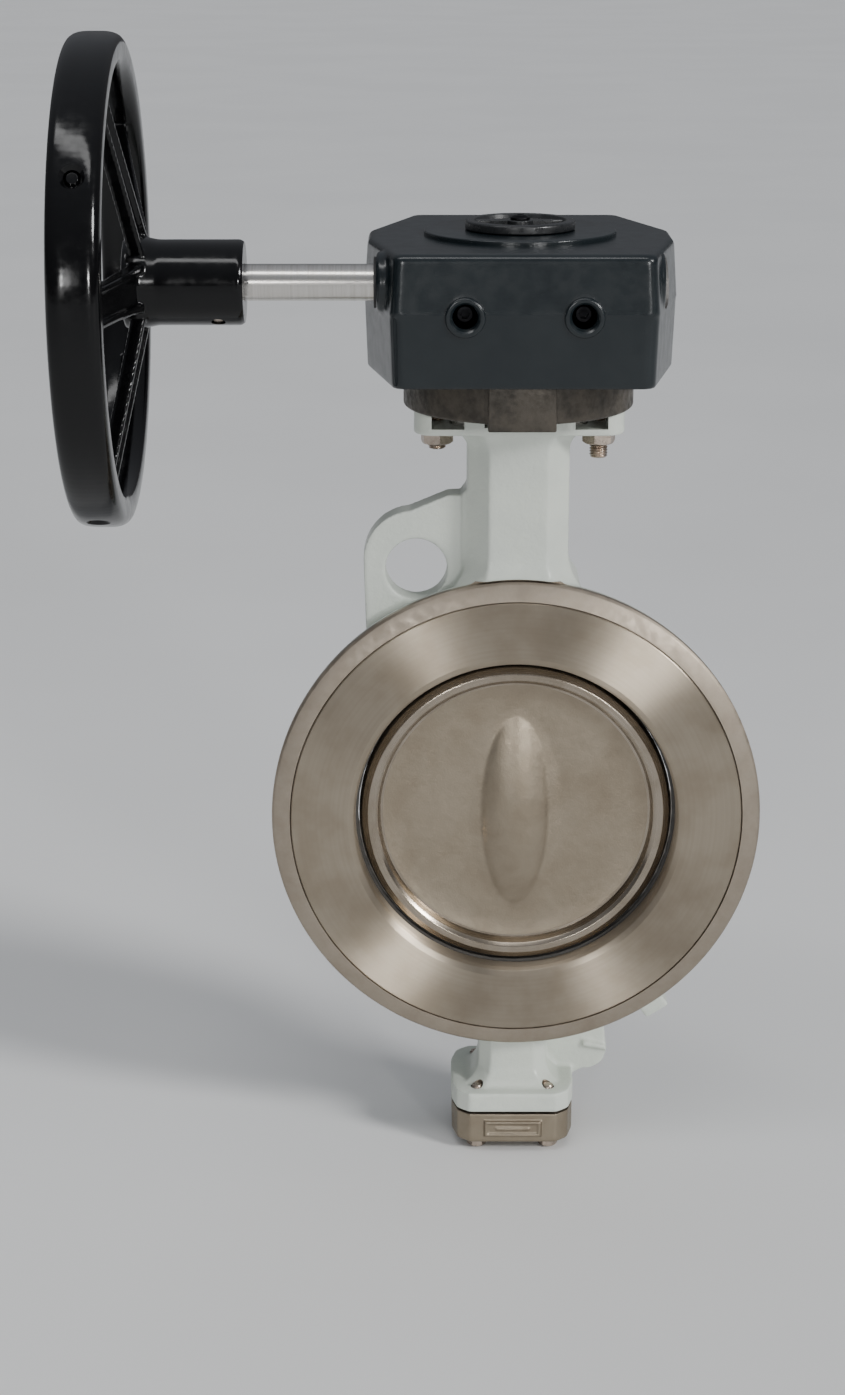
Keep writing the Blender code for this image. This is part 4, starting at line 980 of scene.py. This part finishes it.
def handwheel():
    low, high = WHEEL_HUB_X
    hub = turned("wheel_hub", [
        (0, high + 0.6 * MM), (WHEEL_HUB_R - 1.4 * MM, high + 0.6 * MM, 0.4 * MM),
        (WHEEL_HUB_R, high - 1.4 * MM, 0.8 * MM), (WHEEL_HUB_R, low + 14 * MM, 4 * MM),
        (WHEEL_HUB_R + 1.6 * MM, low + 6 * MM, 4 * MM), (WHEEL_HUB_R + 1.6 * MM, low, 2 * MM), (0, low),
    ], X_AXIS, SHAFT_LINE)
    wheel = gathered("handwheel_casting", wheel_rim(), hub, *[spoke(i) for i in range(SPOKES)])
    cast(wheel, 0.6 * MM, 4)
    shaft_end = span("worm_shaft", X_AXIS)[0]
    pin_hole = rod("hub_pin_hole", 2.9 * MM, -24 * MM, 24 * MM, Z_AXIS)
    pin_hole.data.transform(hub_pin_place())
    cutters = [
        rod("hub_bore", 7.8 * MM, shaft_end - 0.3 * MM, high + 5 * MM, X_AXIS, SHAFT_LINE),
        block("hub_face", (high, -80 * MM, 220 * MM), (high + 5 * MM, -10 * MM, 260 * MM)),
    ]
    cut(wheel, *cutters)
    cut(wheel, pin_hole)
    for node, angle in RIM_PLUGS:
        hole = turned(f"{node}_hole", mm(
            (0, 106), (5.4, 106), (5.4, 100.2), (3.4, 98.4), (3.4, 95), (0, 95),
        ), Z_AXIS, steps=SMALL)
        hole.data.transform(rim_place(angle))
        cut(wheel, hole)
    finished(wheel, WHEEL_BODY, "black_gloss", "handwheel", sharp=40)


# ---------------------------------------------------------------- materials

class Finish:
    """A Principled material, with nodes that read the object's own coordinates in metres."""

    def __init__(self, name, colour, roughness, metallic=0.0, **sockets):
        self.material = bpy.data.materials.new(name)
        self.material.use_nodes = True
        self.nodes = self.material.node_tree.nodes
        self.links = self.material.node_tree.links
        self.shader = self.nodes["Principled BSDF"]
        self.shader.inputs["Base Color"].default_value = (*colour, 1)
        self.shader.inputs["Roughness"].default_value = roughness
        self.shader.inputs["Metallic"].default_value = metallic
        for socket, value in sockets.items():
            self.shader.inputs[socket.replace("_", " ")].default_value = value
        self.place = self.nodes.new("ShaderNodeTexCoord").outputs["Object"]
        self.normal = None

    def noise(self, size, detail=4, roughness=0.55, place=None, distortion=0.0):
        """Cloudy noise from 0 to 1, whose blobs are about size across."""
        node = self.nodes.new("ShaderNodeTexNoise")
        node.inputs["Scale"].default_value = 1 / size
        node.inputs["Detail"].default_value = detail
        node.inputs["Roughness"].default_value = roughness
        node.inputs["Distortion"].default_value = distortion
        self.links.new(place or self.place, node.inputs["Vector"])
        return node.outputs["Fac"]

    def spots(self, size, low, high):
        """Small round pits or dots, 1 inside and 0 outside."""
        node = self.nodes.new("ShaderNodeTexVoronoi")
        node.inputs["Scale"].default_value = 1 / size
        self.links.new(self.place, node.inputs["Vector"])
        return self.remapped(node.outputs["Distance"], low, high, 1, 0)

    def stretched(self, x, y, z):
        """Coordinates scaled along each axis, which draws noise out into streaks."""
        node = self.nodes.new("ShaderNodeMapping")
        node.inputs["Scale"].default_value = (x, y, z)
        self.links.new(self.place, node.inputs["Vector"])
        return node.outputs["Vector"]

    def radius(self, axis, centre=(0, 0, 0)):
        """The distance from an axis through a point, as a vector that varies only with it."""
        shift = self.nodes.new("ShaderNodeVectorMath")
        shift.operation = "SUBTRACT"
        shift.inputs[1].default_value = centre
        self.links.new(self.place, shift.inputs[0])
        flat = self.nodes.new("ShaderNodeVectorMath")
        flat.operation = "MULTIPLY"
        flat.inputs[1].default_value = [0 if axis == letter else 1 for letter in "XYZ"]
        self.links.new(shift.outputs[0], flat.inputs[0])
        length = self.nodes.new("ShaderNodeVectorMath")
        length.operation = "LENGTH"
        self.links.new(flat.outputs[0], length.inputs[0])
        out = self.nodes.new("ShaderNodeCombineXYZ")
        self.links.new(length.outputs["Value"], out.inputs[0])
        return out.outputs[0]

    def remapped(self, value, low, high, to_low, to_high):
        node = self.nodes.new("ShaderNodeMapRange")
        node.interpolation_type = "SMOOTHSTEP"
        self.links.new(value, node.inputs["Value"])
        for socket, number in zip(("From Min", "From Max", "To Min", "To Max"), (low, high, to_low, to_high)):
            node.inputs[socket].default_value = number
        return node.outputs["Result"]

    def mixed(self, factor, first, second):
        """A colour between two, each of them fixed or from a node."""
        node = self.nodes.new("ShaderNodeMix")
        node.data_type = "RGBA"
        self.links.new(factor, node.inputs[0])
        for socket, value in ((node.inputs[6], first), (node.inputs[7], second)):
            if isinstance(value, tuple):
                socket.default_value = (*value, 1)
            else:
                self.links.new(value, socket)
        return node.outputs[2]

    def colour(self, output):
        self.links.new(output, self.shader.inputs["Base Color"])
        return self

    def mottled(self, size, light, dark, detail=4, roughness=0.55):
        """Soft patches of two colours, about size across."""
        patches = self.remapped(self.noise(size, detail, roughness), 0.35, 0.7, 0, 1)
        return self.colour(self.mixed(patches, light, dark))

    def rough(self, value, low, high):
        self.links.new(self.remapped(value, 0.3, 0.7, low, high), self.shader.inputs["Roughness"])
        return self

    def bump(self, height, depth, strength=1.0):
        """Adds a relief of that real depth over the ones before it."""
        node = self.nodes.new("ShaderNodeBump")
        node.inputs["Strength"].default_value = strength
        node.inputs["Distance"].default_value = depth
        self.links.new(height, node.inputs["Height"])
        if self.normal:
            self.links.new(self.normal, node.inputs["Normal"])
        self.normal = node.outputs["Normal"]
        self.links.new(self.normal, self.shader.inputs["Normal"])
        return self

    def turned_round(self, axis):
        """Lines the highlight up with tool marks that run round an axis."""
        node = self.nodes.new("ShaderNodeTangent")
        node.direction_type = "RADIAL"
        node.axis = axis
        self.links.new(node.outputs["Tangent"], self.shader.inputs["Tangent"])
        return self


def cast_paint(name, light, dark, roughness, grain, peel):
    """Enamel over a sand casting: soft grain, orange peel and a little dirt in patches."""
    made = Finish(name, light, roughness, Coat_Weight=0.25, Coat_Roughness=0.2)
    made.mottled(34 * MM, light, dark, 5)
    made.rough(made.noise(9 * MM, 5), roughness - 0.08, roughness + 0.12)
    made.bump(made.noise(3.2 * MM, 3), grain)
    made.bump(made.noise(0.9 * MM, 2), peel)
    return made.material


def body_paint():
    return cast_paint("body_paint", (0.60, 0.635, 0.565), (0.54, 0.575, 0.52), 0.42, 0.28 * MM, 0.06 * MM)


def operator_paint():
    made = Finish("operator_paint", (0.005, 0.009, 0.011), 0.24)
    made.mottled(22 * MM, (0.0045, 0.008, 0.010), (0.007, 0.011, 0.013))
    made.rough(made.noise(6 * MM, 4), 0.22, 0.27)
    made.bump(made.noise(7 * MM, 3), 0.03 * MM)
    made.bump(made.noise(1.4 * MM, 2), 0.012 * MM)
    return made.material


def black_gloss():
    made = Finish("black_gloss", (0.0015, 0.0015, 0.0018), 0.12, Specular_IOR_Level=0.3)
    made.rough(made.noise(5 * MM, 4), 0.1, 0.2)
    made.bump(made.noise(3.5 * MM, 2), 0.015 * MM)
    return made.material


def turned_steel():
    """Facing marks run round the pipe axis, in bands of slightly different gloss, with a faint stain."""
    made = Finish("turned_steel", (0.42, 0.36, 0.28), 0.37, 1.0, Anisotropic=1.0, Anisotropic_Rotation=0.25)
    r = made.radius(Y_AXIS)
    bands = made.noise(2.2 * MM, 6, 0.7, r)
    marks = made.noise(0.35 * MM, 3, 0.6, r)
    stain = made.noise(26 * MM, 4)
    warm = made.mixed(made.remapped(stain, 0.35, 0.7, 0, 1), (0.43, 0.37, 0.29), (0.34, 0.285, 0.215))
    made.colour(made.mixed(made.remapped(bands, 0.3, 0.75, 0, 0.35), warm, (0.30, 0.25, 0.19)))
    made.rough(bands, 0.34, 0.4)
    made.bump(marks, 0.004 * MM)
    return made.turned_round(Y_AXIS).material


def machined_body():
    """The turned band and bores of the body, dull and a little stained."""
    made = Finish("machined_body", (0.36, 0.31, 0.26), 0.42, 1.0, Anisotropic=0.4, Anisotropic_Rotation=0.25)
    stain = made.remapped(made.noise(14 * MM, 6, 0.65), 0.35, 0.72, 0, 1)
    made.colour(made.mixed(stain, (0.36, 0.31, 0.25), (0.31, 0.262, 0.208)))
    made.rough(made.noise(4 * MM, 5), 0.38, 0.55)
    made.bump(made.noise(0.5 * MM, 3, 0.6, made.radius(Y_AXIS)), 0.012 * MM)
    made.bump(made.noise(0.7 * MM, 3), 0.01 * MM)
    return made.turned_round(Y_AXIS).material


def cast_steel():
    """A blasted casting: fine grain, a few pits and scratches, darker where it was last handled."""
    made = Finish("cast_steel", (0.34, 0.30, 0.25), 0.4, 1.0)
    patches = made.remapped(made.noise(24 * MM, 6, 0.62, distortion=0.6), 0.32, 0.72, 0, 1)
    made.colour(made.mixed(patches, (0.32, 0.272, 0.207), (0.265, 0.22, 0.163)))
    made.rough(made.noise(3 * MM, 6, 0.7), 0.34, 0.46)
    made.bump(made.noise(0.8 * MM, 5, 0.7), 0.07 * MM)
    made.bump(made.noise(9 * MM, 4, 0.6), 0.25 * MM)
    made.bump(made.spots(7 * MM, 0.03, 0.12), 0.06 * MM, -0.6)
    return made.material


def polished_edge():
    made = Finish("polished_edge", (0.36, 0.31, 0.25), 0.24, 1.0, Anisotropic=0.6, Anisotropic_Rotation=0.25)
    bands = made.noise(1.1 * MM, 4, 0.6, made.radius(Y_AXIS))
    made.rough(bands, 0.2, 0.3)
    made.mottled(18 * MM, (0.37, 0.32, 0.26), (0.29, 0.245, 0.19))
    return made.turned_round(Y_AXIS).material


def shaft_steel():
    """Ground bar with fine marks round it."""
    made = Finish("shaft_steel", (0.62, 0.60, 0.57), 0.3, 1.0)
    along = made.noise(1.2 * MM, 4, 0.6, made.stretched(1, 0.02, 0.02))
    made.rough(along, 0.2, 0.27)
    made.colour(made.mixed(made.remapped(along, 0.3, 0.75, 0, 1), (0.64, 0.62, 0.59), (0.52, 0.495, 0.46)))
    return made.material


def plain_steel(name, light, dark, roughness):
    """Stock and fasteners: faint drawing marks, fingermarks and small nicks."""
    made = Finish(name, light, roughness, 1.0)
    made.mottled(5 * MM, light, dark, 5)
    made.rough(made.noise(1.6 * MM, 4), roughness - 0.08, roughness + 0.14)
    made.bump(made.noise(0.6 * MM, 3), 0.012 * MM)
    return made.material


def cast_iron(name, light, dark, metallic):
    made = Finish(name, light, 0.5, metallic)
    made.mottled(12 * MM, light, dark, 6, 0.65)
    made.rough(made.noise(3 * MM, 5), 0.38, 0.62)
    made.bump(made.noise(0.9 * MM, 5, 0.7), 0.1 * MM)
    made.bump(made.noise(5 * MM, 3), 0.12 * MM)
    return made.material


def moulded(name, light, dark, roughness, grain):
    """Plastic, rubber and pressed packing: even colour with a fine moulded grain."""
    made = Finish(name, light, roughness)
    made.mottled(8 * MM, light, dark)
    made.rough(made.noise(2 * MM, 3), roughness - 0.06, roughness + 0.1)
    made.bump(made.noise(0.5 * MM, 3), grain)
    return made.material


def floor_finish():
    made = Finish("floor", (0.8, 0.8, 0.79), 0.7)
    tone = made.remapped(made.noise(0.4, 3), 0.3, 0.7, 0, 1)
    made.colour(made.mixed(tone, (0.82, 0.82, 0.81), (0.79, 0.79, 0.78)))
    return made.material


def all_finishes():
    return {
        "body_paint": body_paint(),
        "machined_body": machined_body(),
        "turned_steel": turned_steel(),
        "cast_steel": cast_steel(),
        "polished_edge": polished_edge(),
        "shaft_steel": shaft_steel(),
        "bright_steel": plain_steel("bright_steel", (0.58, 0.56, 0.53), (0.46, 0.44, 0.41), 0.24),
        "black_oxide": plain_steel("black_oxide", (0.02, 0.02, 0.022), (0.012, 0.012, 0.013), 0.4),
        "fastener_steel": plain_steel("fastener_steel", (0.52, 0.44, 0.37), (0.36, 0.30, 0.25), 0.3),
        "cast_iron": cast_iron("cast_iron", (0.075, 0.064, 0.05), (0.033, 0.029, 0.023), 0.4),
        "machined_iron": cast_iron("machined_iron", (0.25, 0.24, 0.23), (0.15, 0.145, 0.14), 0.9),
        "operator_paint": operator_paint(),
        "black_gloss": black_gloss(),
        "black_plastic": moulded(
            "black_plastic", (0.01, 0.011, 0.012), (0.016, 0.017, 0.018), 0.3, 0.02 * MM
        ),
        "ptfe": moulded("ptfe", (0.06, 0.057, 0.053), (0.045, 0.043, 0.04), 0.5, 0.01 * MM),
        "graphite": moulded("graphite", (0.05, 0.05, 0.055), (0.035, 0.035, 0.04), 0.5, 0.03 * MM),
        "bronze": plain_steel("bronze", (0.45, 0.28, 0.11), (0.34, 0.20, 0.08), 0.32),
        "rubber": moulded("rubber", (0.014, 0.014, 0.015), (0.02, 0.02, 0.02), 0.6, 0.03 * MM),
    }


FINISHES = all_finishes()


def dress_inner_nodes():
    """The nodes that the assembly hides keep their CAD shape and take the finish of their slot."""
    slots = {part["node"]: part["material_slot"] for part in frame["record"]["subparts"]}
    for node, obj in frame["nodes"].items():
        if obj.hide_render:
            continue
        if not obj.data.materials:
            obj.data.materials.append(None)
        for slot in obj.material_slots:
            slot.material = FINISHES[slots[node]]


# ---------------------------------------------------------------- stage

CAMERA_PLACE = Vector((-0.0413, -1.151, 0.4021))
CAMERA_PITCH = math.radians(17.08)
CAMERA_LENS = 69.68


def camera():
    data = bpy.data.cameras.new("camera")
    data.lens = CAMERA_LENS
    data.sensor_width = 36
    data.clip_end = 50
    eye = bpy.data.objects.new("camera", data)
    bpy.context.scene.collection.objects.link(eye)
    eye.location = CAMERA_PLACE
    eye.rotation_euler = (math.pi / 2 - CAMERA_PITCH, 0, 0)
    bpy.context.scene.camera = eye


def soft_sun(name, direction, strength, width):
    """A large studio light far away in a direction from the object, width degrees across."""
    data = bpy.data.lights.new(name, "SUN")
    data.energy = strength
    data.angle = math.radians(width)
    lamp = bpy.data.objects.new(name, data)
    bpy.context.scene.collection.objects.link(lamp)
    lamp.rotation_euler = Vector(direction).to_track_quat("Z", "Y").to_euler()


def strip_light(place, aim, size, power):
    """A long soft box above the object, whose long side runs along X."""
    data = bpy.data.lights.new("strip_light", "AREA")
    data.shape = "RECTANGLE"
    data.size, data.size_y = size
    data.energy = power
    lamp = bpy.data.objects.new("strip_light", data)
    bpy.context.scene.collection.objects.link(lamp)
    lamp.location = place
    lamp.rotation_euler = (Vector(aim) - Vector(place)).to_track_quat("-Z", "Y").to_euler()


def room():
    """A dim pale room with a bright ceiling."""
    world = bpy.data.worlds.new("room")
    bpy.context.scene.world = world
    world.use_nodes = True
    nodes, links = world.node_tree.nodes, world.node_tree.links
    place = nodes.new("ShaderNodeTexCoord")
    split = nodes.new("ShaderNodeSeparateXYZ")
    links.new(place.outputs["Generated"], split.inputs[0])
    ramp = nodes.new("ShaderNodeValToRGB")
    low, high = ramp.color_ramp.elements
    low.position, low.color = 0.0, (0.09, 0.09, 0.095, 1)
    high.position, high.color = 1.0, (0.42, 0.44, 0.48, 1)
    links.new(split.outputs["Z"], ramp.inputs[0])
    links.new(ramp.outputs[0], nodes["Background"].inputs["Color"])
    nodes["Background"].inputs["Strength"].default_value = 1.0


def stage():
    low = CAD_BOX[0][2] - 0.0005
    bpy.ops.mesh.primitive_plane_add(size=40, location=(0, 0, low))
    floor = bpy.context.object
    floor.name = "floor"
    floor.data.materials.append(floor_finish())
    room()
    soft_sun("key_light", (0.75, -0.5, 0.45), 2.2, 12)
    soft_sun("left_lamp", (-0.22, -0.96, 0.16), 0.45, 4)
    soft_sun("right_lamp", (0.36, -0.92, 0.16), 0.7, 5)
    strip_light((-0.3, -0.5, 1.5), (-0.1, -0.1, 0.24), (1.5, 0.22), 7)


def main():
    valve_body()
    retainer_ring()
    disc()
    disc_pins()
    bottom_cover()
    cover_screws()
    gear_housing()
    gear_base()
    worm_shaft()
    position_indicator()
    mounting_hardware()
    gland_bolts()
    handwheel()
    small_fixings()
    dress_inner_nodes()
    stage()
    camera()


main()
